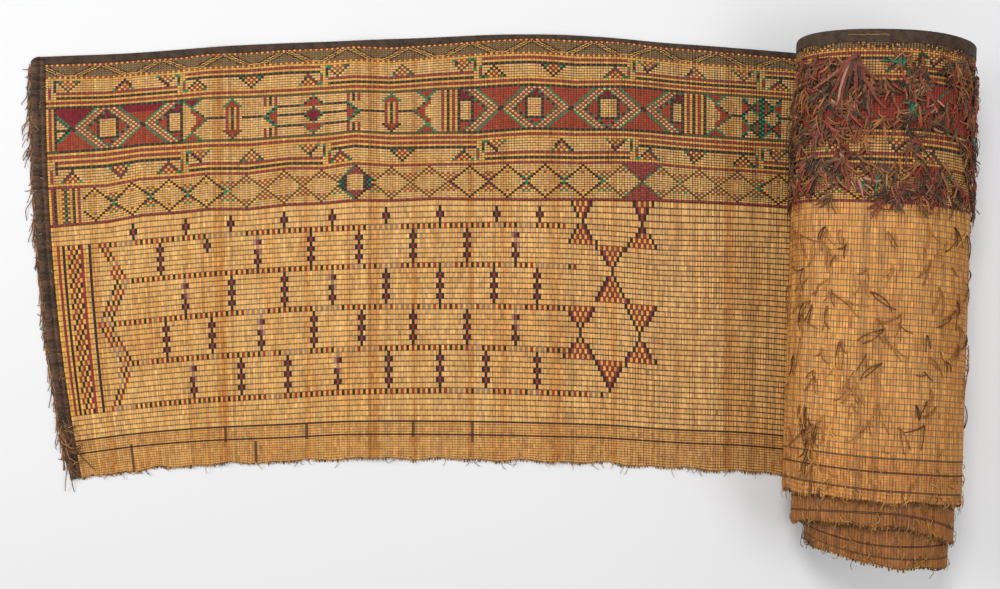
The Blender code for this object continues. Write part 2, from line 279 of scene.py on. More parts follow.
def zigzagLetters(reed, row):
    away = (reed - zigzag["bottom"] + zigzag["period"] / 2) % zigzag["period"] - zigzag["period"] / 2
    past = np.abs(away) - 1.4 - (zigzag["last"] - row) * zigzag["slope"]
    letters = np.where((np.floor(reed * 2) + np.floor(row * 2)) % 2 == 0, "o", "t")
    near = (past > -zigzag["between"]) & (past < 2 * zigzag["between"])
    letters = np.where(near, "k", letters)
    yellow = (np.abs(past) < zigzag["line"]) | (np.abs(past - zigzag["between"]) < zigzag["line"])
    yellow |= (row > zigzag["last"] - 0.5) & (np.abs(away) < 1.6)
    return np.where(yellow, "y", letters)


def weaveZigzagEdges():
    stripe(0, 0, flatReeds, "yr")
    stripe(6, 0, flatReeds, "ry")
    stripe(7, 0, flatReeds)


# middle reed of each small triangle of the stepped stripes, + where it points up
steppedStripes = {
    "upper": {
        "row": 8,
        "low": True,  # the stripes start at the lower side
        "changes": (50, 103, 160, 217, 264),
        "triangles": (-8.5, 29.2, -45, 56.3, -76.5, 97.8, -108.6, 132.6, -154.7, 166.5, -188.4, 211.5,
                      -223.8, 240.8, -258.2, 271, -290),
    },
    "lower": {
        "row": 42,
        "low": False,
        "changes": (51, 104, 161, 218, 264),
        "triangles": (9, -27.2, 45.5, -57, 76.5, -98, 109.4, -132.4, 155, -167, 191.7, -211.8,
                      224, -240.8, 258.6, -270.7, 290),
    },
}


def weaveSteppedStripes(zone):
    top, low, start = zone["row"], zone["low"], 4
    lowSpans = []
    for end in (*zone["changes"], flatReeds + 2):
        for row, colour in zip((5, 6, 7) if low else (0, 1, 2), "ryk"):
            stripe(top + row, start, end - 2, colour)
        if low:
            lowSpans.append((start, end))
        if end < flatReeds:
            black, red = (end - 1, end + 1) if low else (end + 1, end - 1)
            post(black, top, top + 4)
            post(red, top + 3, top + 7, "r")
            post(end, top, top + 7, "y")
            for row, reed in ((0, black), (4, black), (3, red), (7, red)):
                dye(top + row, reed, "g")
        start, low = end + 2, not low
    post(3, top, top + 4)
    post(1, top + 3, top + 7, "r")
    for place in zone["triangles"]:
        middle = abs(place)
        first = top if any(a <= middle <= b for a, b in lowSpans) else top + 3
        tip, base = (first, first + 4) if place > 0 else (first + 4, first)
        triangle(tip, base, middle, 3.6)
        dye(base, middle - 3.4, "g")
        dye(base, middle + 3.2, "g")


panel = {"top": 20, "bottom": 37, "middle": 28.5}
panelRows = range(panel["top"], panel["bottom"] + 1)


def weaveCrossPanel(first, last, crossings, squares):
    # big crosses with green dots, diamonds edged with checks between them, a bare square in each
    leftEnd = first < 10
    for row in panelRows:
        rise = row - panel["middle"]
        for reed in range(first, last + 1):
            past = round(nearest(reed, crossings) - abs(rise))
            inSquare = nearest(reed, squares)
            if inSquare < 3.6 and abs(rise) < 4.8:
                letter = "k" if inSquare > 2.5 or abs(rise) > 3.8 else "b"
            elif past < 0:
                letter = "d" if leftEnd and (rise < -5.5 or (rise < 0 and reed < 20)) else "u"
            elif past == 0:
                letter = "g" if abs(rise) > 1 else "k"
            elif leftEnd and reed < crossings[0]:
                letter = "k" if past == 1 or (0 < rise < 1 and reed < 8) else "b"
            elif past < 5:
                letter = "rb"[(row + reed) % 2]
            elif past == 5:
                letter = "gk"[row % 2]
            else:
                letter = "d" if rise < -4 else "u"
            dye(row, reed, letter)


def weavePointedBlock(tip, base):
    # a rust triangle that points along the mat, on stems from a small one above and one below it
    step = 1 if base > tip else -1
    for reach in range(6):
        reed = tip + reach * step
        for row in range(panel["top"] + 3, panel["bottom"] - 2):
            rise = abs(row - panel["middle"])
            if rise <= reach + 0.5 and (reach < 4 or rise > reach - 2):
                dye(row, reed, "gk"[row % 2] if rise > reach - 0.5 else "u")
    middle = tip + 4.5 * step
    triangle(panel["top"] + 3, panel["top"], middle, 3, "g", "d" if tip < 60 else "u")
    triangle(panel["bottom"] - 3, panel["bottom"], middle, 3, "g", "u")


def weaveHexagonBar(middle):
    # two red rails and a dark core between rust roofs edged with green
    left = int(middle - 2)
    posts(left, 24, 33, "rykyr")
    dye(28, left + 2, "g")
    for row in (20, 21, 22, 23, 34, 35, 36, 37):
        reach = int(8.5 - abs(row - panel["middle"]))
        for step in range(-reach, reach + 1):
            dye(row, left + 2 + step, "gk"[(row + step) % 2] if abs(step) == reach else "u")


def weavePostsAndPoint(outer, inner):
    # three short posts above and below, and a rust triangle that points away from the middle
    step = 1 if inner > outer else -1
    for first, last in ((panel["top"], panel["top"] + 3), (panel["bottom"] - 3, panel["bottom"])):
        for place, colour in enumerate("rkr"):
            post(outer + 2 * place * step, first, last, colour)
    for reach in range(5):
        for row in panelRows:
            rise = abs(row - panel["middle"])
            if rise < reach + 0.6:
                dye(row, outer + reach * step, "gk"[row % 2] if rise > reach - 0.6 else "u")


def weaveMainPanel():
    top, bottom = panel["top"], panel["bottom"]
    for row, colour in zip((16, 17, 18, 19, 38, 39, 40, 41), "yryooyry"):
        stripe(row, 0, flatReeds, colour)
    for row in (19, 38):
        stripe(row, 4, 50, "k")
        stripe(row, 154, 236, "k")
    for first, last in ((59, 66), (73, 80), (86, 112), (117, 125), (131, 136), (254, 258), (272, flatReeds)):
        stripe(28, first, last, "k")
    stripe(24, 86, 112, "k")
    stripe(33, 86, 112, "k")
    posts(0, top, bottom, "yryk")
    weaveCrossPanel(4, 49, (10, 36), (23, 49))
    post(50, top, bottom)
    weavePointedBlock(59, 52)
    weaveHexagonBar(69.8)
    weavePostsAndPoint(81, 85)
    weavePostsAndPoint(116, 112)
    weaveDiamondStack(99.4)
    weaveHexagonBar(128.7)
    weavePointedBlock(137, 145)
    posts(147, top, bottom, "rykyryk")
    weaveCrossPanel(154, 235, (169, 195, 222), (155.5, 181.5, 209, 236))
    posts(236, top, bottom, "kyrykyryk")
    weavePointedBlock(253, 246)
    weaveStar(265)


def weaveDiamondStack(middle):
    # a diamond between the two lines, half a one above and below
    for row, reed, away in cellsRound(panelRows, middle, 4):
        rise = abs(row - panel["middle"])
        inner = rise < 4.3
        reach = 3.6 - rise * 0.9 if inner else 3.6 - (rise - 5) * 0.95
        if away < reach + 0.4:
            dye(row, reed, "gk"[row % 2] if away > reach - 0.7 else "d" if inner else "u")


def weaveStar(middle):
    # a green and black stem with a column of crossed lines on either side, rust between their arms
    for row, reed, away in cellsRound(panelRows, middle, 7):
        rise = abs(abs(row - panel["middle"]) - 4.5)
        past = abs(away - 3.8) - rise * 0.75
        if away < 1.1 or abs(past) < 0.65:
            dye(row, reed, "gk"[(row + reed) % 2])
        elif past > 0 and away < 6.8:
            dye(row, reed, "u")


diamonds = {
    "rows": range(52, 67),
    "middleRow": 59,
    "middles": (17.5, 31.5, 45.5, 59.5, 74.5, 88.5, 102.5, 115.5, 128.5, 142.5, 157.5, 171.5, 185.5, 199.5,
                214.5, 228.5, 242.5, 256.5, 271.5, 285.5, 299.5),
    "hexagon": 115,
    "hourglass": 221.5,
    "green": (25, 39, 53, 67, 109, 122, 178, 192, 207, 235, 264),  # crossings with green in them
}


def weaveDiamondBand():
    for row, colour in ((50, "y"), (51, "r"), (patternRows - 1, "r")):
        stripe(row, 0, flatReeds, colour)
    for row in diamonds["rows"]:
        rise = abs(row - diamonds["middleRow"])
        for reed in range(13, flatReeds + 1):
            away = nearest(reed, diamonds["middles"])
            past = round(away + rise - 7)
            crossed = nearest(reed, diamonds["green"]) < 2.6
            if past == 0:
                dye(row, reed, "g" if crossed and away > 5 and row % 2 else "k")
            elif past > 0 and 0.5 < rise < 4.5 and away > 7 - rise * 0.7:
                dye(row, reed, "y" if (row + reed) % 2 else "rg"[crossed and row % 3 == 0])
            elif past == 1 or (past == -1 and row % 2):
                dye(row, reed, "y")
            elif past in (-2, -3) and rise > 3:
                dye(row, reed, "ry"[(row + reed) % 2])
    posts(0, 52, 66, ("y", "r", "k", "y", "y", "ry", "gk", "ry", "y", "k", "y", "r", "b"))
    for row, reed, away in cellsRound(diamonds["rows"], diamonds["hexagon"], 7):
        rise = abs(row - diamonds["middleRow"])
        past = max(away + rise - 8.4, away - 5.6)
        if away < 5 and rise < 3.4:
            dye(row, reed, "k" if away > 3.3 else "b")
        elif past < 0:
            dye(row, reed, "gk"[(row + reed) % 2] if past > -1.3 else "r")
    for row, reed, away in cellsRound(diamonds["rows"], diamonds["hourglass"], 6.5):
        rise = abs(row - diamonds["middleRow"])
        if abs(away - rise) < 0.8:
            dye(row, reed, "gk"[(row // 2) % 2])
        elif away < rise:
            dye(row, reed, "r" if reed % 3 else "u")


# reeds of the posts in the four gaps between the rows of checks
fieldPosts = {
    5: (41, 78, 98, 116, 136, 156, 174),
    13: (50, 68, 88, 106, 126, 146, 166, 182),
    21: (42, 60, 79, 99, 117, 136, 156, 174),
    29: (52, 71, 89, 108, 127, 146, 163, 182),
}
wornPosts = (50, 52, 78, 79, 106, 108, 174)
checkRows = ((4, 20, 193), (12, 27, 196), (20, 22, 192), (28, 28, 192), (36, 17, 209))
# row of the point, row of the wide side, middle reed, half width of the triangles of checks
fieldTriangles = (
    (3, 0, 199, 3.5), (3, 7, 199, 5), (3, 0, 221.5, 3.5), (3, 7, 221.5, 5), (12, 8, 210, 5.3),
    (13, 18, 210, 6), (24, 20, 198.4, 5.5), (25, 29, 198.4, 5.5), (24, 19, 220.8, 5.5),
    (25, 29, 220.8, 5.5), (35, 30, 209.5, 5.5),
)
# reed, first and last row of the short dark marks on the lower edge
darkReeds = ((24, 44, 49), (64, 42, 44), (76, 45, 49), (96, 42, 44), (136, 42, 44), (158, 42, 45))


def weaveCross(row, reed):
    post(reed, row - 1, row + 1)
    stripe(row, reed - 1, reed + 1, "k")
    dye(row, reed, "r")


def weaveField():
    chance = random.Random(seeds["checks"])
    for reed in (31, 51, 68, 88, 106, 126, 146, 167, 183):
        weaveCross(patternRows + 2, reed)
    for first, reeds in fieldPosts.items():
        for reed in reeds:
            for step in (1, 3, 5):
                row = patternRows + first + step
                weaveCross(row, reed)
                if reed in wornPosts and step < 4:
                    dye(row, reed + step - 2, "p")
                    dye(row - 1, reed, "p")
    weaveCross(patternRows + 6, 59)
    for row, first, last in checkRows:
        worn = 0
        for reed in range(first, last + 1):
            worn = chance.randint(2, 7) if chance.random() < 0.05 else max(0, worn - 1)
            colour = "y" if reed % 2 else "p" if worn else "rk"[(reed // 2) % 2]
            dye(patternRows + row, reed, colour)
    # the border at the wrapped end, and the bent row of checks beside it
    posts(0, patternRows + 4, patternRows + 36, "yyryky")
    posts(11, patternRows + 4, patternRows + 36, "ry")
    post(14, patternRows + 4, patternRows + 36)
    for row in range(4, 37):
        for reed in range(6, 11):
            dye(patternRows + row, reed, "y" if (row + reed) % 2 else "rk"[(row + reed) // 2 % 2])
        middle = np.interp(row + 0.5, (4.5, 12.5, 20.5, 28.5, 36.5), (19.5, 26.8, 18.5, 26.8, 19.5))
        for reed in range(int(middle - 2), int(middle + 3)):
            dye(patternRows + row, reed, "y" if (row + reed) % 2 else chance.choice("rkrkp"))
    for tip, base, middle, half in fieldTriangles:
        triangle(patternRows + tip, patternRows + base, middle, half)
    for reed, first, last in darkReeds:
        post(reed, patternRows + first, patternRows + last, "o")


weaveZigzagEdges()
weaveSteppedStripes(steppedStripes["upper"])
weaveSteppedStripes(steppedStripes["lower"])
weaveMainPanel()
weaveDiamondBand()
weaveField()
print("pattern worked out")


def linear(hexColour):
    parts = [int(hexColour[k:k + 2], 16) / 255 for k in (1, 3, 5)]
    return np.array([c / 12.92 if c <= 0.04045 else ((c + 0.055) / 1.055) ** 2.4 for c in parts])


# colour, and how far the thong covers the reed
dyes = {
    "b": ("#d9a964", 0.0),
    "t": ("#967549", 0.6),  # the light checks of the zigzag's ground
    "o": ("#5d5037", 0.8),
    "y": ("#dca54c", 0.4),
    "r": ("#8a3433", 1.0),
    "k": ("#2b2620", 1.0),
    "u": ("#9c4228", 1.0),
    "v": ("#9c3a2c", 1.0),  # the red that fills the panel on the back
    "d": ("#7f1a27", 1.0),
    "g": ("#1a8660", 1.0),
    "p": ("#99806f", 1.0),
}
reedTones = {
    "spread": 0.06,
    "cellSpread": 0.11,
    # first reed, last reed, share of the light that is left: orange and brown bands of old reed
    "bands": ((62, 65, 0.9), (120, 123, 0.9), (157, 158, 0.88), (169, 170, 0.9), (187, 190, 0.88),
              (15, 16, 0.92), (96, 97, 0.92), (136, 137, 0.9), (210, 211, 0.9), (252, 254, 0.88)),
    "dull": (0.05, 0.82),  # share of the reeds, and of their light that is left
    "streaked": (0.22, 0.8),  # the same, for the reeds after number 222
    "streakedAfter": 222,
    "warmShare": 0.1,
    "crestHighlight": ("#b59a80", 0.14),  # painted highlight: colour and share of it on thongs that ride over others
}
# share of red, green and blue that old reed takes away, and shares that are left elsewhere
tints = {
    "oldReed": np.array([0.02, 0.16, 0.36]),
    "lowerEdge": np.array([0.90, 0.82, 0.72]),
    "backField": np.array([0.88, 0.74, 0.56]),
    "backPattern": np.array([0.86, 0.80, 0.74]),
    # the inner turns of the roll are darker: partly dirt, partly painted shade under the outer turn
    "innerTurns": np.array([0.62, 0.53, 0.40]),
    "stain": np.array([0.86, 0.70, 0.50]),
    "streak": np.array([0.78, 0.60, 0.42]),
}


def reedTone(count):
    chance = np.random.default_rng(seeds["reeds"])
    light = 1 + reedTones["spread"] * chance.standard_normal(count)
    share, left = reedTones["dull"]
    light[chance.random(count) < share] *= left
    share, left = reedTones["streaked"]
    late = np.arange(count) > reedTones["streakedAfter"]
    light[late & (chance.random(count) < share)] *= left
    warm = np.zeros(count)
    for first, last, left in reedTones["bands"]:
        light[first:last + 1] *= left
        warm[first:last + 1] = 1
    warm += 0.5 * (chance.random(count) < reedTones["warmShare"])
    return np.clip(light, 0.45, 1.25), warm


reedLight, reedWarmth = reedTone(allReeds)
cellNoise = np.random.default_rng(seeds["cells"]).standard_normal((cells.shape[0], allReeds))


def patternReed(reed):
    # past the flat stretch the pattern goes on in mirrored repeats
    reed = np.asarray(reed, int) % (2 * flatReeds)
    return np.where(reed > flatReeds, 2 * flatReeds - reed, reed)


def colourCells(reeds, rows, back, innerDirtAndShade):
    # linear colour and leather share of each face between the lines
    reed = np.clip(np.floor((reeds[1:] + reeds[:-1]) / 2).astype(int), 0, allReeds - 1)
    middleRow = (rows[1:] + rows[:-1]) / 2
    row = np.clip(np.floor(middleRow).astype(int), 0, cells.shape[0] - 1)
    letters = cells[row[None, :], patternReed(reed)[:, None]].copy()
    letters[:, middleRow < 0] = "b"
    halfReed = (reeds[1:, None] + reeds[:-1, None]) / 2
    fine = (middleRow > zigzag["first"]) & (middleRow < zigzag["last"])
    letters[:, fine] = zigzagLetters(halfReed, middleRow[None, fine])
    if back:
        letters[:, middleRow > patternRows] = "b"
        inPanel = (row >= panel["top"]) & (row <= panel["bottom"])
        letters[:, inPanel] = np.where(letters[:, inPanel] == "g", "g", "v")
    for line in darkLines[:2] if reeds[-1] <= flatReeds else darkLines:
        letters[:, np.abs(middleRow - line) < 0.2] = "o" if back and line != darkLines[1] else "k"
    colour = np.empty((*letters.shape, 4))
    for letter, (hexColour, cover) in dyes.items():
        colour[letters == letter] = (*linear(hexColour), cover)
    bare = 1 - colour[..., 3:4] * 0.7
    # painted highlight: where a red or black thong rides over the next one, its crest is lightened
    rides = (letters == "r") | (letters == "k")
    rides &= ((reed[:, None] + row[None, :]) % 2 == 0) & (middleRow[None, :] < patternRows)
    crestHighlight, share = reedTones["crestHighlight"]
    colour[rides, :3] = colour[rides, :3] * 0.8 + linear(crestHighlight) * share
    light = reedLight[reed][:, None, None] ** bare
    light = light * (1 + reedTones["cellSpread"] * cellNoise[row[None, :], reed[:, None]][..., None])
    warm = reedWarmth[reed][:, None, None] * bare
    colour[..., :3] *= light * (1 - warm * tints["oldReed"])
    colour[:, middleRow > darkLines[0], :3] *= tints["lowerEdge"]
    if back:
        plain = (middleRow > patternRows)[None, :, None]
        tint = np.where(plain, tints["backField"], tints["backPattern"])
        # inner turns darker: partly dirt, partly painted shade under the outer turn
        colour[..., :3] *= tint * (tints["innerTurns"] if innerDirtAndShade else 1)
    return np.clip(colour, 0.004, 1)


def placed(name, data):
    made = bpy.data.objects.new(name, data)
    bpy.context.scene.collection.objects.link(made)
    return made


def meshPiece(name, points, faces, materials, colours=None, uv=None, slots=None, flat=False):
    mesh = bpy.data.meshes.new(name)
    mesh.from_pydata(np.asarray(points).reshape(-1, 3).tolist(), [], faces)
    for material in materials:
        mesh.materials.append(material)
    if colours is not None:
        corners = [len(face) for face in faces]
        layer = mesh.color_attributes.new("dye", "FLOAT_COLOR", "CORNER")
        layer.data.foreach_set("color", np.repeat(colours, corners, axis=0).astype(np.float32).ravel())
    if uv is not None:
        pointOf = np.empty(len(mesh.loops), dtype=np.int32)
        mesh.loops.foreach_get("vertex_index", pointOf)
        layer = mesh.uv_layers.new(name="weave")
        layer.data.foreach_set("uv", uv.astype(np.float32)[pointOf].ravel())
    if slots is not None:
        mesh.polygons.foreach_set("material_index", slots.astype(np.int32))
    if not flat:
        mesh.shade_smooth()
    piece = placed(name, mesh)
    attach(piece, "root")
    return piece


def setSockets(node, sockets):
    for socket, value in sockets.items():
        if isinstance(value, bpy.types.NodeSocket):
            node.id_data.links.new(value, node.inputs[socket])
        else:
            node.inputs[socket].default_value = value


def addNode(tree, kind, sockets=None, **settings):
    node = tree.nodes.new("ShaderNode" + kind)
    for name, value in settings.items():
        setattr(node, name, value)
    setSockets(node, sockets or {})
    return node.outputs


def newMaterial(name):
    made = bpy.data.materials.new(name)
    made.use_nodes = True
    return made, made.node_tree.nodes["Principled BSDF"], partial(addNode, made.node_tree)


# Woven split reed under leather thongs: reeds straw gold with a slight gloss on their rounded backs,
# thongs dull, with thin dark lines where the undyed binding thongs cross the reeds, and painted shade in the
# grooves between reeds
weaveLooks = {
    "pattern": {"rowHeight": 5.7, "lineWidth": 1.7, "line": "#3d2718", "reedRoughness": 0.5,
                "groove": "#24150b", "grooveDark": 0.9, "closed": 0.5, "dotted": 0.8, "streaks": 0.35},
    "field": {"rowHeight": 12.6, "lineWidth": 2.7, "line": "#50261d", "reedRoughness": 0.48,
              "groove": "#3a200e", "grooveDark": 0.85, "closed": 0.25, "dotted": 0.8, "streaks": 0.5},
    "backPattern": {"rowHeight": 5.7, "lineWidth": 1.7, "line": "#3f2c1e", "reedRoughness": 0.6,
                    "groove": "#2a190e", "grooveDark": 0.85, "closed": 0.6, "dotted": 0.9, "streaks": 0.6},
    "backField": {"rowHeight": 12.6, "lineWidth": 1.9, "line": "#7d6350", "reedRoughness": 0.55,
                  "groove": "#4f2a12", "grooveDark": 0.75, "closed": 0.3, "dotted": 0.95, "streaks": 1.0},
}
# how wide the marks of the weave are, and how far they run up a reed
weaveMm = {
    "reed": mat["reedPitch"] * 1000,
    "grain": 0.55,  # the grain of a split reed is finer, and drawn this coarse so that it shows
    "grainRun": 9,
    "gapRun": 45,
    "streak": 8,
    "streakRun": 75,
    "stain": 160,
}
thongRoughness = 0.74
gapStep = 1.71  # from one gap to the next in the noise, so that no two gaps are alike
stainStretch = (2.2, 0.8, 2.2)  # stains run up the reeds


def weaveMaterial(name, look):
    made, shader, add = newMaterial(name)
    rowMm = look["rowHeight"]
    place = add("UVMap", uv_map="weave")[0]
    split = add("SeparateXYZ", {0: place})
    where = add("TexCoord")["Object"]
    dyed = add("Attribute", attribute_name="dye")
    # how far a place is from the middle of its reed, and from the middle of its row
    fromMiddle = []
    for at in (split[0], split[1]):
        share = add("Math", {0: at}, operation="FRACT")[0]
        past = add("Math", {0: share, 1: 0.5}, operation="SUBTRACT")[0]
        fromMiddle.append(add("Math", {0: past}, operation="ABSOLUTE")[0])
    # noise for the gaps between reeds, broad stains, streaks on single reeds, and fine grain up each reed
    gapNumber = add("Math", {0: split[0]}, operation="ROUND")[0]
    gapAt = add("CombineXYZ", {0: gapNumber, 1: split[1]})[0]
    noises = []
    # place, stretch, scale, detail, roughness
    for at, stretch, scale, detail, roughness in (
        (gapAt, (gapStep, rowMm / weaveMm["gapRun"], 1), 1.0, 2.0, 0.5),
        (where, stainStretch, 1000 / weaveMm["stain"], 4.0, 0.62),
        (place, (weaveMm["reed"] / weaveMm["streak"], rowMm / weaveMm["streakRun"], 1), 1.0, 3.0, 0.65),
        (place, (weaveMm["reed"] / weaveMm["grain"], rowMm / weaveMm["grainRun"], 1), 1.0, 3.0, 0.6),
    ):
        stretched = add("VectorMath", {0: at, 1: stretch}, operation="MULTIPLY")[0]
        noises.append(add("TexNoise", {"Vector": stretched, "Scale": scale, "Detail": detail,
                                       "Roughness": roughness})[0])
    gap, stain, streak, grain = noises
    # painted shade in the gaps between reeds: a gap is open and dark for a few rows, then closes
    gapDark = add("MapRange", {0: gap, 1: 0.40, 2: 0.62, 3: look["closed"]})[0]
    groove = add("MapRange", {0: fromMiddle[0], 1: 0.30, 2: 0.48}, interpolation_type="SMOOTHSTEP")[0]
    groove = add("Math", {0: groove, 1: gapDark}, operation="MULTIPLY")[0]
    # a line of binding thong between two rows, which goes over every second reed
    halfLine = look["lineWidth"] / rowMm / 2
    line = add("MapRange", {0: fromMiddle[1], 1: 0.5 - halfLine * 1.5, 2: 0.5 - halfLine * 0.6},
               interpolation_type="SMOOTHSTEP")[0]
    reedNumber = add("Math", {0: split[0]}, operation="FLOOR")[0]
    lineNumber = add("Math", {0: split[1]}, operation="ROUND")[0]
    both = add("Math", {0: reedNumber, 1: lineNumber}, operation="ADD")[0]
    over = add("Math", {0: both, 1: 1.0}, operation="PINGPONG")[0]
    over = add("MapRange", {0: over, 3: look["dotted"]})[0]
    # the dye, under stains, streaks and grain
    shade = dyed["Color"]
    for noise, least, most, share, tint in ((stain, 0.42, 0.72, 0.75, tints["stain"]),
                                            (streak, 0.48, 0.66, look["streaks"], tints["streak"])):
        share = add("MapRange", {0: noise, 1: least, 2: most, 4: share})[0]
        tint = add("Mix", {0: share, 6: (1, 1, 1, 1), 7: (*tint, 1)}, data_type="RGBA")[2]
        shade = add("Mix", {0: 1.0, 6: shade, 7: tint}, data_type="RGBA", blend_type="MULTIPLY")[2]
    grainLight = add("MapRange", {0: grain, 1: 0.3, 2: 0.7, 3: 0.80, 4: 1.14})[0]
    shade = add("Mix", {0: 1.0, 6: shade, 7: grainLight}, data_type="RGBA", blend_type="MULTIPLY")[2]
    # painted shade: lines and gaps are darker towards the roll, and a thong that covers the reed hides half
    # of a line
    alongMat = add("SeparateXYZ", {0: where})[0]
    rollShade = add("MapRange", {0: alongMat, 1: -0.4, 2: 0.75, 3: 0.85, 4: 1.15})[0]
    gapShadeNearRoll = add("MapRange", {0: alongMat, 1: -0.2, 2: 0.6, 3: 0.75, 4: 1.5})[0]
    coverLeft = add("MapRange", {0: dyed["Alpha"], 3: 1.0, 4: 0.55})[0]
    for mark, shares, colour in ((line, (over, coverLeft, rollShade), look["line"]),
                                 (groove, (look["grooveDark"], gapShadeNearRoll), look["groove"])):
        for share in shares:
            mark = add("Math", {0: mark, 1: share}, operation="MULTIPLY", use_clamp=True)[0]
        shade = add("Mix", {0: mark, 6: shade, 7: (*linear(colour), 1)}, data_type="RGBA")[2]
    roughness = add("MapRange", {0: dyed["Alpha"], 3: look["reedRoughness"], 4: thongRoughness})[0]
    # relief: the grooves between reeds, the dip at each binding line, and the grain
    dips = add("Math", {0: groove, 1: line}, operation="MAXIMUM")[0]
    height = add("Math", {0: grain, 1: 0.35, 2: 0.0}, operation="MULTIPLY_ADD")[0]
    height = add("Math", {0: height, 1: dips}, operation="SUBTRACT")[0]
    bump = add("Bump", {"Height": height, "Strength": 0.5, "Distance": 0.0006})[0]
    setSockets(shader, {"Base Color": shade, "Roughness": roughness, "Normal": bump, "IOR": 1.5,
                        "Specular IOR Level": 0.25})
    return made


weaves = [weaveMaterial("Split reed and thong " + key, look) for key, look in weaveLooks.items()]

# spans of rows, and the step from line to line of the mesh in each: half a row where the weave is seen
# near, more elsewhere
rowSpans = {
    "all": ((0, patternRows, 0.5), (patternRows, closeRow, 0.5)),
    "field": ((0, patternRows, 1), (patternRows, closeRow, 0.5)),
    "whole": ((0, patternRows, 1), (patternRows, 100, 0.5)),
    "low": ((0, patternRows, 8.5), (patternRows, 100, 8), (101, closeRow, 0.5)),
}
lowerSpan = (closeRow, lastRow + 0.1, 0.25)
halfDark = 0.17  # half the width of a dark line, in rows


def rowLines(kind, low=firstRow, high=lastRow):
    lines = [firstRow]
    for span in (*rowSpans[kind], lowerSpan):
        lines += np.arange(*span).tolist()
    for line in darkLines:
        lines = [row for row in lines if abs(row - line) > 0.01] + [line - halfDark, line + halfDark]
    lines = sorted({round(row, 3) for row in lines if low <= row <= high} | {low, high})
    return np.array(lines[::-1])


coarseRows = np.array([lastRow, 112, 106, *range(98, 7, -10), 0, firstRow])
# furrows beside each reed and row, uneven crests, and how far the surface keeps inside the solid
# of the mat; underStrip is how much lower it lies under the leather strip
relief = {"reed": 0.0016, "row": 0.0006, "uneven": 0.00018, "highest": 0.0003, "underStrip": 0.0012,
          "inset": 0.0001, "play": 0.0002}
sway = {"height": 0.0020, "wavesAlong": 21, "bend": 2.4, "wavesUp": 3.1, "slant": 1.3,
        "end": 2.0, "endFade": 0.15, "startFade": 0.06}


def reliefOff(reeds, rows, side, fine):
    half = mat["thickness"] / 2 - relief["inset"]
    reedCrest = np.abs(np.sin(math.pi * reeds))[:, None]
    rowAt = np.where(rows < closeRow, rows, rows * 2)
    rowCrest = np.abs(np.sin(math.pi * rowAt))[None, :]
    off = half - relief["reed"] * (1 - reedCrest) - (relief["row"] * (1 - rowCrest) if fine else 0)
    uneven = np.random.default_rng(seeds["relief"]).standard_normal(off.shape) * relief["uneven"]
    bareTop = np.where(rows < 0, relief["underStrip"], 0)[None, :]
    return side * (off + np.minimum(uneven, relief["highest"]) - bareTop - relief["play"])


def swayOff(along, up):
    # the low waves of the flat stretch
    bend = sway["bend"] * np.sin(sway["wavesUp"] * up + sway["slant"] * along)
    wave = np.sin(sway["wavesAlong"] * along + bend)
    flatShare = ease((sway["end"] - along) / sway["endFade"]) * ease(along / sway["startFade"])
    return sway["height"] * (1 + wave) / 2 * flatShare


def weaveSheet(name, first, last, frontRows, backRows, fineFront=True, innerDirtAndShade=False):
    reeds = np.arange(first, last + 0.01, 0.5)
    along = reeds[:, None] * mat["reedPitch"]
    # points run row by row up each half reed: first those of the front, then from start on the back's
    wide, front, back = len(reeds), len(frontRows), len(backRows)
    start = wide * front
    points, faces, colours, slots, uv = [], [], [], [], []
    for rows, base, flip in ((frontRows, 0, False), (backRows, start, True)):
        up = upOfRows(reeds, rows)
        off = reliefOff(reeds, rows, -1 if flip else 1, fineFront != flip) + swayOff(along, up)
        points.append(layPoints(along, up, off).reshape(-1, 3))
        count = len(rows)
        corner = base + np.arange(wide - 1)[:, None] * count + np.arange(count - 1)[None, :]
        quads = np.stack([corner, corner + count, corner + count + 1, corner + 1], axis=-1).reshape(-1, 4)
        faces += (quads[:, ::-1] if flip else quads).tolist()
        colours.append(colourCells(reeds, rows, flip, innerDirtAndShade).reshape(-1, 4))
        middle = (rows[1:] + rows[:-1]) / 2
        slots.append(np.tile(np.where(middle < patternRows, 0, 1) + (2 if flip else 0), wide - 1))
        rowAt = np.where(rows < closeRow, rows, rows * 2 - closeRow)
        uv.append(np.stack(np.meshgrid(reeds, rowAt, indexing="ij"), axis=-1).reshape(-1, 2))
    # the edges: a quad for each half reed below and above, and one face over each end
    i = np.arange(wide - 1)
    lower = np.stack([start + i * back, start + (i + 1) * back, (i + 1) * front, i * front], axis=-1)
    upper = np.stack([(i + 1) * front - 1, (i + 2) * front - 1, start + (i + 2) * back - 1,
                      start + (i + 1) * back - 1], axis=-1)
    faces += lower.tolist() + upper.tolist()
    faces.append([*range(front), *range(start + back - 1, start - 1, -1)])
    lastFront, lastBack = start - front, start + (wide - 1) * back
    faces.append([*range(lastFront + front - 1, lastFront - 1, -1), *range(lastBack, lastBack + back)])
    edges = 2 * wide
    colours.append(np.tile([*linear(dyes["b"][0]) * 0.8, 0.0], (edges, 1)))
    slots.append(np.full(edges, 1))
    piece = meshPiece(name, np.concatenate(points), faces, weaves, np.concatenate(colours),
                      np.concatenate(uv), np.concatenate(slots))
    upSpan = upOfRows(reeds[::8], np.array([frontRows[0], frontRows[-1]]))
    return piece


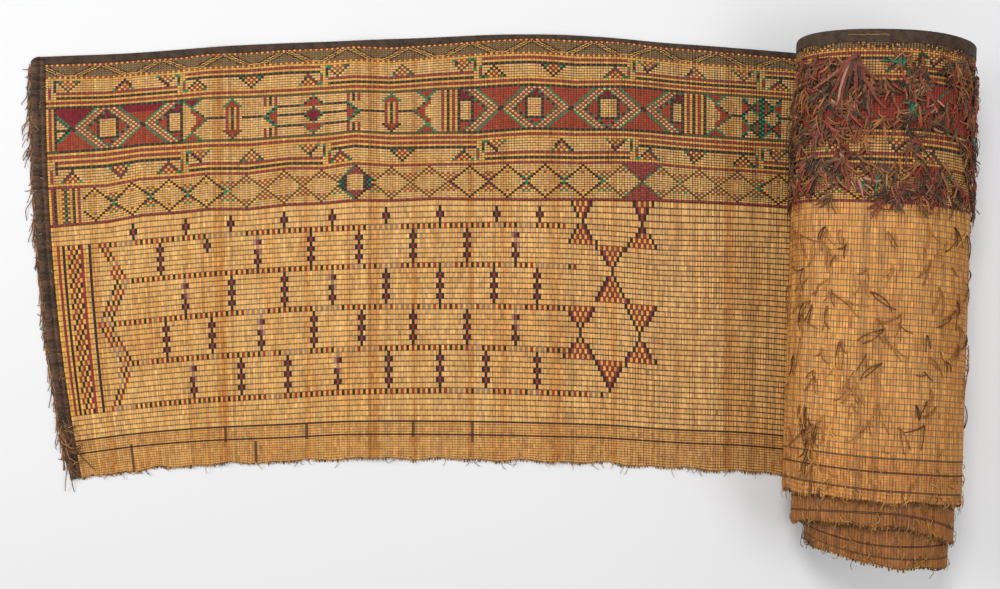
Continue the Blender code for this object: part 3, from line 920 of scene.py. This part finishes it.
# the reeds at which one turn of the roll hides the next
turnEnds = [flatReeds, *(round(alongAtTurn(turn) / mat["reedPitch"]) for turn in (1.07, 2.12, mat["turns"]))]
matLength = turnEnds[3] * mat["reedPitch"]
sheets = [
    weaveSheet("woven_band_flat", 0, flatReeds, rowLines("all", high=patternRows),
               coarseRows[coarseRows <= patternRows]),
    weaveSheet("woven_field_flat", 0, flatReeds, rowLines("all", low=patternRows),
               coarseRows[coarseRows >= patternRows]),
    weaveSheet("woven_outer_turn", *turnEnds[0:2], coarseRows, rowLines("field"), False),
    weaveSheet("woven_middle_turn", *turnEnds[1:3], coarseRows, rowLines("low"), False, True),
    weaveSheet("woven_inner_turn", *turnEnds[2:4], rowLines("whole"), rowLines("low"), False, True),
]
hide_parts("mat")
print("mat woven:", [len(sheet.data.polygons) for sheet in sheets])


def leatherMaterial(name, look, dyed=False):
    made, shader, add = newMaterial(name)
    where = add("TexCoord")["Object"]
    where = add("VectorMath", {0: where, 1: look.get("stretch", (1, 1, 1))}, operation="MULTIPLY")[0]
    patch = add("TexNoise", {"Vector": where, "Scale": 1000 / look["patchMm"], "Detail": 5.0,
                             "Roughness": 0.65})[0]
    grain = add("TexNoise", {"Vector": where, "Scale": 1000 / look["grainMm"], "Detail": 2.0})[0]
    if dyed:
        base = add("Attribute", attribute_name="dye")["Color"]
        light = add("MapRange", {0: patch, 1: 0.3, 2: 0.7, 3: 0.72, 4: 1.25})[0]
        base = add("Mix", {0: 1.0, 6: base, 7: light}, data_type="RGBA", blend_type="MULTIPLY")[2]
    else:
        share = add("MapRange", {0: patch, 1: 0.38, 2: 0.62})[0]
        dark, brown = ((*linear(look[key]), 1) for key in ("dark", "brown"))
        base = add("Mix", {0: share, 6: dark, 7: brown}, data_type="RGBA")[2]
    wear = add("MapRange", {0: grain, 1: 0.54, 2: 0.76, 4: look["wear"]})[0]
    base = add("Mix", {0: wear, 6: base, 7: (*linear(look["worn"]), 1)}, data_type="RGBA")[2]
    roughness = add("MapRange", {0: grain, 1: 0.3, 2: 0.7, 3: 0.55, 4: 0.8})[0]
    bump = add("Bump", {"Height": grain, "Strength": 0.5, "Distance": 0.0005})[0]
    setSockets(shader, {"Base Color": base, "Roughness": roughness, "Normal": bump,
                        "Specular IOR Level": 0.2})
    return made


# Dark goat leather, tanned and greased, rubbed grey where hands and floors have worn it
leatherLook = {"dark": "#2a2019", "brown": "#463427", "worn": "#7d6852", "wear": 0.5, "grainMm": 1.5,
               "patchMm": 16}
darkLeather = leatherMaterial("Goat leather greased dark", leatherLook)
# the same leather as thong, worn brown on each winding, so streaked across the ribs
woundLook = {**leatherLook, "brown": "#5e4230", "worn": "#857462", "grainMm": 2.2, "stretch": (0.25, 1.6, 1)}
woundLeather = leatherMaterial("Goat leather thong wound", woundLook)
# Thin rawhide, brown and hardly rubbed, so that each end shows as a line of one colour
thongLook = {"worn": "#a98f70", "wear": 0.12, "grainMm": 0.9, "patchMm": 14}
thongLeather = leatherMaterial("Rawhide thong brown", thongLook, dyed=True)
# Soft torn leather, whose dye is blotched and lighter where the tear shows the flesh side
shredLook = {"worn": "#b58f7c", "wear": 0.16, "grainMm": 1.4, "patchMm": 7}
shredLeather = leatherMaterial("Goat leather dyed and torn", shredLook, dyed=True)


def wrinkles(count, seed, size):
    # a soft uneven line: the same for every run
    chance = np.random.default_rng(seed)
    return np.convolve(chance.standard_normal(count + 8), np.hanning(9) / 4.5, mode="valid") * size


def tubeFaces(rings, corners, base=0, turned=False):
    # the sides between rings of points, and a face over each end; turned if the rings run the other way
    faces = []
    for start in range(base, base + (rings - 1) * corners, corners):
        for k in range(corners):
            k2 = (k + 1) % corners
            side = (start + k, start + k2, start + corners + k2, start + corners + k)
            faces.append(side[:1] + side[:0:-1] if turned else side)
    firstEnd = range(base, base + corners)
    lastEnd = range(base + (rings - 1) * corners, base + rings * corners)
    faces.append(tuple(firstEnd if turned else firstEnd[::-1]))
    faces.append(tuple(lastEnd[::-1] if turned else lastEnd))
    return faces


# The strip of leather folded over the reed ends
strip = {"leather": 0.001, "over": 0.0001, "cutEdge": 0.0004, "back": 0.029, "backWave": 0.0020,
         "frontLeast": 0.009, "frontMost": 0.020, "stepAlong": 0.008, "fold": 0.0006, "shoulder": 0.0004,
         "inside": 0.0015, "coversRow": 0.15, "dents": 0.00035}


def makeEdgeStrip():
    along = np.linspace(0, matLength, int(matLength / strip["stepAlong"]))
    top = mat["reedLength"]
    coveredUp = upOfRows(along / mat["reedPitch"], np.array([strip["coversRow"]]))[:, 0]
    front = top - np.clip(top - coveredUp, strip["frontLeast"], strip["frontMost"])
    back = top - strip["back"] + wrinkles(len(along), seeds["stripBack"], strip["backWave"])
    outer = mat["thickness"] / 2 + strip["over"]
    inner = mat["thickness"] / 2 - strip["leather"] + strip["over"]
    fold, shoulder, inside = top + strip["fold"], top + strip["shoulder"], top - strip["inside"]
    # up the front, over the fold, down the back, and back along the inside
    ring = []
    for share in (0.0, 0.08, 0.35, 0.65, 0.93):
        thinned = strip["cutEdge"] if share == 0 else 0
        ring.append((front + (top - strip["fold"] - front) * share, outer - thinned))
    ring += [(shoulder, outer * 0.6), (fold, 0.0), (shoulder, -outer * 0.6)]
    for share in (0.95, 0.75, 0.5, 0.25, 0.06, 0.0):
        thinned = strip["cutEdge"] if share == 0 else 0
        ring.append((back + (top - strip["fold"] - back) * share, -outer + thinned))
    seen = len(ring)
    ring += [(back, -inner), (inside, -inner), (inside, inner), (front, inner)]
    points = np.empty((len(along), len(ring), 3))
    for k, (up, off) in enumerate(ring):
        uneven = wrinkles(len(along), seeds["stripFolds"] + k, strip["dents"]) if k < seen else 0
        points[:, k] = layPoints(along, up, off + np.sign(off) * np.abs(uneven) + swayOff(along, up))
    piece = meshPiece("edge_strip", points, tubeFaces(len(along), len(ring), turned=True), [darkLeather])
    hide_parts("top_binding")


makeEdgeStrip()

# The wrapped end: two padded ribs, wound with thong. Distance across them, and height.
ribs = np.array([
    (0.000, 0.0034), (0.003, 0.0070), (0.009, 0.0086), (0.016, 0.0074), (0.020, 0.0040), (0.022, 0.0010),
    (0.024, 0.0044), (0.029, 0.0074), (0.033, 0.0060), (0.036, 0.0036),
])
endWrap = {"width": 0.036, "gap": 0.0003, "stepUp": 0.0025, "stepsAcross": 19, "winding": 0.0085,
           "slant": 45, "ridge": 0.0011, "ridgeFade": 0.004, "corner": 0.016, "under": 0.0002}


def makeEndWrap():
    ups = np.linspace(0, mat["reedLength"], int(mat["reedLength"] / endWrap["stepUp"]))
    across = np.linspace(0, endWrap["width"], endWrap["stepsAcross"])
    floor = -mat["thickness"] / 2
    top = floor + smoothRead(ribs, 1, across)
    fade = np.minimum(1, np.minimum(across, endWrap["width"] - across) / endWrap["ridgeFade"])
    outer = -endWrap["gap"] - endWrap["width"]
    points = np.empty((len(ups), len(across) + 3, 3))
    for i, up in enumerate(ups):
        slant = 2 * math.pi * (up / endWrap["winding"] + across * endWrap["slant"])
        ridge = endWrap["ridge"] * (np.sin(slant) * 0.6 + np.sin(slant * 2.3 + 1) * 0.3)
        wobble = 0.0012 * math.sin(up * 31) + 0.0008 * math.sin(up * 83 + 1)
        # the upper corner is rounded off
        pastCorner = max(0.0, up - (mat["reedLength"] - endWrap["corner"]))
        rounded = endWrap["corner"] - math.sqrt(max(0.0, endWrap["corner"] ** 2 - pastCorner ** 2))
        along = outer + (wobble + rounded) * np.linspace(1, 0, len(across)) + across
        # the flat underside closes the ribs
        under = np.array([outer + 0.0359, outer + 0.018, outer + wobble + rounded])
        points[i, :len(across)] = layPoints(along, up, top + ridge * fade)
        points[i, len(across):] = layPoints(under, up, floor + endWrap["under"])
    piece = meshPiece("end_wrap", points, tubeFaces(*points.shape[:2]), [woundLeather])
    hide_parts("end_binding")


makeEndWrap()
print("leather edges made")


# Loose strands: thongs, torn leather and reed fibre, each a thin flat strip laid on the mat's surface.
# A path starts at (along, up, off) and leads down the reeds, turned by its heading.
def strandPath(chance, start, heading, length, curl, lift, side, steps, fall=1.0):
    # side is 1 on the front of the mat and -1 on the back; with a fall of 1 the tip comes back down to
    # the surface, and with less it stays lifted
    along, up, off = start
    path = [start]
    for step in range(1, steps + 1):
        heading += chance.gauss(curl / steps, abs(curl) * 0.4 / steps + 0.05)
        along += length / steps * math.sin(heading)
        up -= length / steps * math.cos(heading)
        path.append((along, up, off + side * lift * math.sin(math.pi * (step / steps) ** 0.8 * fall)))
    return np.array(path)


def strandSection(points, normals, widths, thickness, twist):
    tangent = np.gradient(points, axis=0)
    tangent /= np.linalg.norm(tangent, axis=1)[:, None] + 1e-9
    sideways = np.cross(tangent, normals)
    sideways /= np.linalg.norm(sideways, axis=1)[:, None] + 1e-9
    outward = np.cross(sideways, tangent)
    turn = np.linspace(0, twist, len(points))[:, None]
    wide = (sideways * np.cos(turn) + outward * np.sin(turn)) * widths[:, None] / 2
    thick = (outward * np.cos(turn) - sideways * np.sin(turn)) * thickness / 2
    return np.stack([points - wide + thick, points + wide + thick, points + wide - thick,
                     points - wide - thick], axis=1)


def makeStrands(name, strands, material):
    # each strand has a path, a width, the width of its tip, a thickness, a twist and a colour
    points, faces, colours = [], [], []
    base = 0
    for path, width, tip, thickness, twist, colour in strands:
        along, up, off = path.T
        middle = layPoints(along, up, off)
        outward = layPoints(along, up, off + 0.001) - middle
        outward /= np.linalg.norm(outward, axis=1)[:, None]
        widths = np.linspace(1, 0, len(path)) ** 0.7 * (width - tip) + tip
        section = strandSection(middle, outward, widths, thickness, twist)
        section[..., 2] = np.maximum(section[..., 2], 0.0003)
        points.append(section.reshape(-1, 3))
        tube = tubeFaces(len(path), 4, base)
        faces += tube
        colours += [(*colour, 1.0)] * len(tube)
        base += 4 * len(path)
    piece = meshPiece(name, np.concatenate(points), faces, [material], np.array(colours), flat=True)
    return piece


def mixedColour(chance, choices):
    hexColours, weights = zip(*choices)
    return linear(chance.choices(hexColours, weights)[0]) * chance.uniform(0.7, 1.25)


# Torn leather on the back: clumps of flat shreds that hang from the places where the pattern's leather
# was cut off
tornLeather = {
    # first turn, last turn, lowest and highest root, number of clumps
    "clumps": ((0.59, 0.72, 0.955, 0.995, 20), (0.46, 0.51, 0.95, 0.99, 8), (0.29, 0.42, 0.94, 0.99, 18),
               (0.29, 0.76, 0.84, 0.94, 92), (0.56, 0.77, 0.74, 0.83, 34), (0.46, 0.49, 0.77, 0.82, 5),
               (0.28, 0.40, 0.74, 0.83, 16), (0.30, 0.56, 0.665, 0.755, 46), (0.55, 0.77, 0.675, 0.755, 26),
               (0.20, 0.30, 0.66, 0.97, 26), (0.76, 0.84, 0.67, 0.97, 14)),
    "hang": (0.05, 0.35),
    "shreds": (4, 10),
    "spread": 0.006,
    "deep": 0.0025,
    "splay": 0.36,
    "length": (0.015, 0.048),
    "curl": 0.9,
    "lift": (0.001, 0.008),
    "fall": (0.5, 0.9),
    "width": (0.0022, 0.0066),
    "tip": 0.45,
    "thickness": 0.0009,
    "twist": 0.45,
    "alike": 0.55,  # share of the shreds with the colour of their clump
    "colours": (("#594433", 21), ("#33271f", 21), ("#76492b", 21), ("#946137", 11), ("#7c372a", 21),
                ("#9c6c58", 2), ("#1a6a50", 1), ("#a87c50", 3)),
    # the big tuft that fans down from one knot: slant and length of each shred
    "knot": (0.583, 0.988),
    "tuft": ((0.95, 0.070), (0.82, 0.115), (0.74, 0.130), (0.66, 0.090), (0.60, 0.115), (0.52, 0.125),
             (0.44, 0.080), (0.36, 0.090), (0.22, 0.070), (0.10, 0.085), (0.02, 0.115), (-0.06, 0.130),
             (-0.12, 0.105), (-0.20, 0.120), (-0.34, 0.070), (-0.55, 0.060)),
    "tuftLift": (0.006, 0.016),
    "tuftWidth": (0.0045, 0.0100),
    "tuftColours": (("#75392b", 6), ("#7f4d36", 3), ("#453429", 4), ("#b98672", 1)),
    # thin ends that stand out past the sides of the roll
    "strays": 28,
    "strayTurns": (0.27, 0.30, 0.745, 0.76),
    "strayUp": (0.66, 0.95),
    "strayLength": (0.03, 0.06),
    "strayLift": (0.006, 0.020),
    "strayColour": "#4a382b",
}
backOff = -mat["thickness"] / 2 - 0.0004


def makeTornLeather():
    look = tornLeather
    chance = random.Random(seeds["torn"])
    gauss, uniform = chance.gauss, chance.uniform
    strands = []
    for firstTurn, lastTurn, lowest, highest, count in look["clumps"]:
        for clump in range(count):
            along = alongAtTurn(uniform(firstTurn, lastTurn))
            up = uniform(lowest, highest)
            hang = gauss(*look["hang"])
            main = mixedColour(chance, look["colours"])
            for shred in range(chance.randint(*look["shreds"])):
                start = (along + gauss(0, look["spread"]), up + gauss(0, look["spread"]),
                         backOff - uniform(0, look["deep"]))
                path = strandPath(chance, start, hang + gauss(0, look["splay"]), uniform(*look["length"]),
                                  gauss(0, look["curl"]), uniform(*look["lift"]), -1, 3,
                                  uniform(*look["fall"]))
                width = uniform(*look["width"])
                if chance.random() < look["alike"]:
                    colour = main * uniform(0.75, 1.25)
                else:
                    colour = mixedColour(chance, look["colours"])
                strands.append((path, width, width * look["tip"], look["thickness"],
                                gauss(0, look["twist"]), colour))
    knotTurn, knotUp = look["knot"]
    for slant, length in look["tuft"]:
        start = (alongAtTurn(knotTurn) + uniform(-0.006, 0.006), knotUp + uniform(-0.008, 0.008), backOff)
        path = strandPath(chance, start, slant, length, gauss(0, 0.4), uniform(*look["tuftLift"]),
                          -1, 10, 0.8)
        strands.append((path, uniform(*look["tuftWidth"]), 0.004, 0.001, gauss(0, 0.6),
                        mixedColour(chance, look["tuftColours"])))
    for stray in range(look["strays"]):
        start = (alongAtTurn(chance.choice(look["strayTurns"])), uniform(*look["strayUp"]), backOff)
        path = strandPath(chance, start, gauss(0, 0.5), uniform(*look["strayLength"]), gauss(0, 1.6),
                          uniform(*look["strayLift"]), -1, 9)
        strands.append((path, 0.0026, 0.0014, 0.001, gauss(0, 0.4), linear(look["strayColour"])))
    piece = makeStrands("torn_leather", strands, shredLeather)
    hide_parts(*(f"tuft_row_{row}" for row in range(1, 7)))


makeTornLeather()

# Thong ends on the plain part of the back, mostly two from one hole
looseThongs = {
    # first turn, last turn, lowest and highest root, number of holes
    "areas": ((0.30, 0.75, 0.14, 0.625, 92), (0.63, 0.67, 0.05, 0.20, 16), (0.62, 0.70, 0.40, 0.60, 10)),
    "deep": 0.0005,
    "paired": 0.8,
    "spread": (0.08, 0.42),
    "length": (0.030, 0.078),
    "lift": (0.002, 0.006),
    "width": 0.0025,
    "tip": 0.0016,
    "thickness": 0.0014,
    "colours": (("#7d4d25", 5), ("#9a6632", 5), ("#53321b", 4), ("#bb8748", 2)),
    # the pale ends along the lower edge
    "edgeEnds": 190,
    "edgeTurns": (0.28, 0.76),
    "edgeLength": (0.012, 0.032),
    "edgeLift": (0.001, 0.005),
    "edgeColours": (("#a87a42", 4), ("#8a5f32", 3), ("#65452a", 2)),
    # loops at the lower corner of the innermost turn
    "loopCurls": (2.4, -3.2, 3.6, -2.2, 4.4, 2.8),
    "loopTurns": (2.68, 2.80),
    "loopLength": (0.04, 0.07),
    "loopColour": "#5a4432",
    # the golden seam along the leather strip, near the top of the roll
    "seam": (0.53, 0.60),
    "seamSteps": 60,
    "seamColour": "#94703e",
}


def makeLooseThongs():
    look = looseThongs
    chance = random.Random(seeds["loose"])
    gauss, uniform = chance.gauss, chance.uniform
    strands = []
    for firstTurn, lastTurn, lowest, highest, count in look["areas"]:
        for pair in range(count):
            start = (alongAtTurn(uniform(firstTurn, lastTurn)), uniform(lowest, highest),
                     backOff - look["deep"])
            hang = gauss(0, 0.4)
            spread = uniform(*look["spread"])
            length = uniform(*look["length"])
            colour = mixedColour(chance, look["colours"])
            for way in (-1, 1) if chance.random() < look["paired"] else (1,):
                path = strandPath(chance, start, hang + way * spread, length * uniform(0.7, 1),
                                  -way * spread * 0.8 + gauss(0, 0.7), uniform(*look["lift"]), -1, 8)
                strands.append((path, look["width"], look["tip"], look["thickness"], gauss(0, 0.4), colour))
    for end in range(look["edgeEnds"]):
        turn = uniform(*look["edgeTurns"]) + chance.choice((0, 0, 1, 2))
        start = (alongAtTurn(turn), abs(gauss(0, 0.05)), backOff - look["deep"])
        path = strandPath(chance, start, gauss(0, 0.7), uniform(*look["edgeLength"]), gauss(0, 0.9),
                          uniform(*look["edgeLift"]), -1, 5)
        strands.append((path, 0.0018, 0.001, 0.001, 0, mixedColour(chance, look["edgeColours"])))
    for curl in look["loopCurls"]:
        start = (alongAtTurn(uniform(*look["loopTurns"])), uniform(0, 0.02), backOff)
        path = strandPath(chance, start, 0.5 + gauss(0, 0.6), uniform(*look["loopLength"]), curl, 0.006,
                          -1, 14)
        strands.append((path, 0.0018, 0.0012, 0.001, 0, linear(look["loopColour"])))
    seam = np.linspace(*(alongAtTurn(turn) for turn in look["seam"]), look["seamSteps"])
    seamUp = mat["reedLength"] - 0.0125 + wrinkles(look["seamSteps"], seeds["seam"], 0.0012)
    path = np.stack([seam, seamUp, np.full(look["seamSteps"], backOff) - 0.0008], axis=1)
    strands.append((path, 0.0016, 0.0012, 0.001, 0, linear(look["seamColour"])))
    makeStrands("loose_thongs", strands, thongLeather)


makeLooseThongs()

# Thong ends of the wound end: straight ones along its side, curled ones, short strays, long ones that
# hang free, a tangle at the lower corner, and the cut tips on the ribs
endThongs = {
    "count": 260,
    "length": (0.025, 0.070),
    "curls": 70,
    "strays": 9,
    "long": 12,
    "corner": 44,
    "onRib": 90,
    "tip": 0.0012,
    "thickness": 0.001,
    "colours": (("#73492a", 6), ("#8f6238", 5), ("#4a3223", 5), ("#94795a", 2)),
}


def makeEndThongs():
    look = endThongs
    chance = random.Random(seeds["end"])
    gauss, uniform = chance.gauss, chance.uniform
    strands = []
    bottom = -mat["thickness"] / 2
    floor = bottom + 0.0007
    edge = -endWrap["width"] - endWrap["gap"]

    def lay(along, up, off, heading, length, curl, lift, steps, width):
        path = strandPath(chance, (along, up, off), heading, length, curl, lift, 1, steps)
        strands.append((path, width, look["tip"], look["thickness"], gauss(0, 0.3),
                        mixedColour(chance, look["colours"])))

    for thread in range(look["count"]):
        lay(edge + uniform(-0.005, 0.001), uniform(0.06, 1.03), floor + 0.001, gauss(0, 0.06),
            uniform(*look["length"]), gauss(0, 0.2), 0.003, 8, 0.0021)
    for thread in range(look["curls"]):
        lay(edge + uniform(-0.003, 0.002), uniform(0.06, 1.03), floor + 0.001, gauss(0, 0.3),
            uniform(0.012, 0.030), gauss(0, 1.6), 0.003, 8, 0.0017)
    for thread in range(look["strays"]):
        lay(edge, uniform(0.80, 0.92), floor + 0.001, -uniform(0.4, 1.3), uniform(0.02, 0.05),
            gauss(0.6, 0.3), 0.003, 8, 0.0015)
    for thread in range(look["long"]):
        lay(edge, uniform(0.15, 1.0), floor, -uniform(0.02, 0.22), uniform(0.06, 0.11), gauss(0.1, 0.5),
            0.002, 10, 0.0019)
    for thread in range(look["corner"]):
        lay(edge + uniform(-0.004, 0.016), uniform(0.04, 0.16), floor + uniform(0, 0.008),
            -uniform(-0.4, 0.6), uniform(0.035, 0.08), uniform(-0.6, 3.0), 0.004, 12, 0.0023)
    # one thong lies slantwise over the corner
    lay(edge + 0.014, 0.115, 0.0065, 0.42, 0.125, 0.2, 0.004, 12, 0.003)
    for thread in range(look["onRib"]):
        across = uniform(0.001, 0.034)
        height = float(smoothRead(ribs, 1, np.array(across)))
        lay(edge + across, uniform(0.03, 1.03), bottom + height + 0.0006,
            chance.choice((1.4, -1.5, -0.3)) + gauss(0, 0.3), uniform(0.005, 0.016), gauss(0, 0.4),
            0.0005, 4, 0.0013)
    piece = makeStrands("end_thongs", strands, thongLeather)
    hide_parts("end_fringe")


makeEndThongs()

# Cut reed ends along the lower edge, and fibres that have worked loose from them
reedEnds = {
    "inside": 0.002,  # each starts this far up, within the mat
    "out": (0.0005, 0.0060),
    "wide": 0.72,
    "tip": 0.5,
    "thickness": 0.0024,
    "inRoll": 0.62,  # share of the light that is left on the ends in the roll
    "fibres": 260,
    "fibreLength": (0.008, 0.030),
    "colours": (("#a0753e", 5), ("#7c5629", 4), ("#b98f58", 1), ("#553a20", 3)),
}


def makeReedEnds():
    look = reedEnds
    chance = random.Random(seeds["fibres"])
    gauss, uniform = chance.gauss, chance.uniform
    pitch = mat["reedPitch"]
    strands = []
    reeds = np.arange(0.5, turnEnds[3])
    edge = upOfRows(reeds, np.array([lastRow]))[:, 0]
    for reed, up in zip(reeds, edge):
        lift = float(swayOff(np.array(reed * pitch), np.array(up)))
        out = uniform(*look["out"])
        start = (reed * pitch, up + look["inside"], lift + uniform(-0.0006, 0.0006))
        path = strandPath(chance, start, gauss(0, 0.12), out + 0.003, 0, 0, 1, 2)
        light = 1.0 if reed < flatReeds else look["inRoll"]
        strands.append((path, pitch * look["wide"], pitch * look["tip"], look["thickness"], 0,
                        mixedColour(chance, look["colours"]) * light))
    for fibre in range(look["fibres"]):
        i = chance.randrange(len(reeds))
        start = (reeds[i] * pitch, edge[i] + look["inside"], uniform(-0.001, 0.001))
        path = strandPath(chance, start, gauss(0, 0.9), uniform(*look["fibreLength"]), gauss(0, 1.6), 0.002,
                          chance.choice((-1, 1)), 7)
        strands.append((path, 0.0013, 0.0008, 0.0008, 0, mixedColour(chance, look["colours"])))
    makeStrands("reed_ends", strands, thongLeather)


makeReedEnds()
print("strands laid")

# Camera straight above, as in the photograph, 3.2 m over the floor
view = {"x": 0.03798, "y": -0.00666, "height": 3.2, "pixelsPerMetre": 405, "imageWidth": 1000, "sensor": 36}
camera = bpy.data.cameras.new("Camera")
camera.sensor_width = view["sensor"]
camera.lens = view["pixelsPerMetre"] * view["height"] / view["imageWidth"] * view["sensor"]
cameraObject = placed("Camera", camera)
cameraObject.location = (view["x"], view["y"], view["height"])
bpy.context.scene.camera = cameraObject

# Pale floor, one big soft light up and left of the mat, two smaller ones, and even light from all round
studio = {
    "floor": "#e0e0e1",
    "floorRoughness": 0.9,
    "floorSize": 14,
    "world": 0.44,
    # name, place, size, power
    "lamps": (("Overhead", (-0.40, 1.7, 4.2), 1.2, 90), ("Side", (2.8, -0.6, 3.8), 2.0, 52),
              ("Low", (-5.0, 0.9, 2.1), 1.6, 140)),
}


def makeStudio():
    half = studio["floorSize"] / 2
    mesh = bpy.data.meshes.new("floor")
    corners = [(-half, -half, 0), (half, -half, 0), (half, half, 0), (-half, half, 0)]
    mesh.from_pydata(corners, [], [(0, 1, 2, 3)])
    # Matt paper: pale, with no shine, so that only the soft shadow of the mat shows on it
    paper, shader = newMaterial("Matt white paper")[:2]
    setSockets(shader, {"Base Color": (*linear(studio["floor"]), 1), "Roughness": studio["floorRoughness"]})
    mesh.materials.append(paper)
    floor = placed("floor", mesh)
    for name, (x, y, z), size, power in studio["lamps"]:
        lamp = bpy.data.lights.new(name, "AREA")
        lamp.shape = "DISK"
        lamp.size = size
        lamp.energy = power
        lampObject = placed(name, lamp)
        lampObject.location = (x, y, z)
        # turned to face the middle of the floor
        lampObject.rotation_euler = (math.atan2(math.hypot(x, y), z), 0, math.atan2(x, -y))
    world = bpy.data.worlds.new("Studio")
    world.use_nodes = True
    world.node_tree.nodes["Background"].inputs["Color"].default_value = (1, 1, 1, 1)
    world.node_tree.nodes["Background"].inputs["Strength"].default_value = studio["world"]
    bpy.context.scene.world = world
    bpy.context.scene.view_settings.view_transform = "Standard"


makeStudio()
print("studio set")
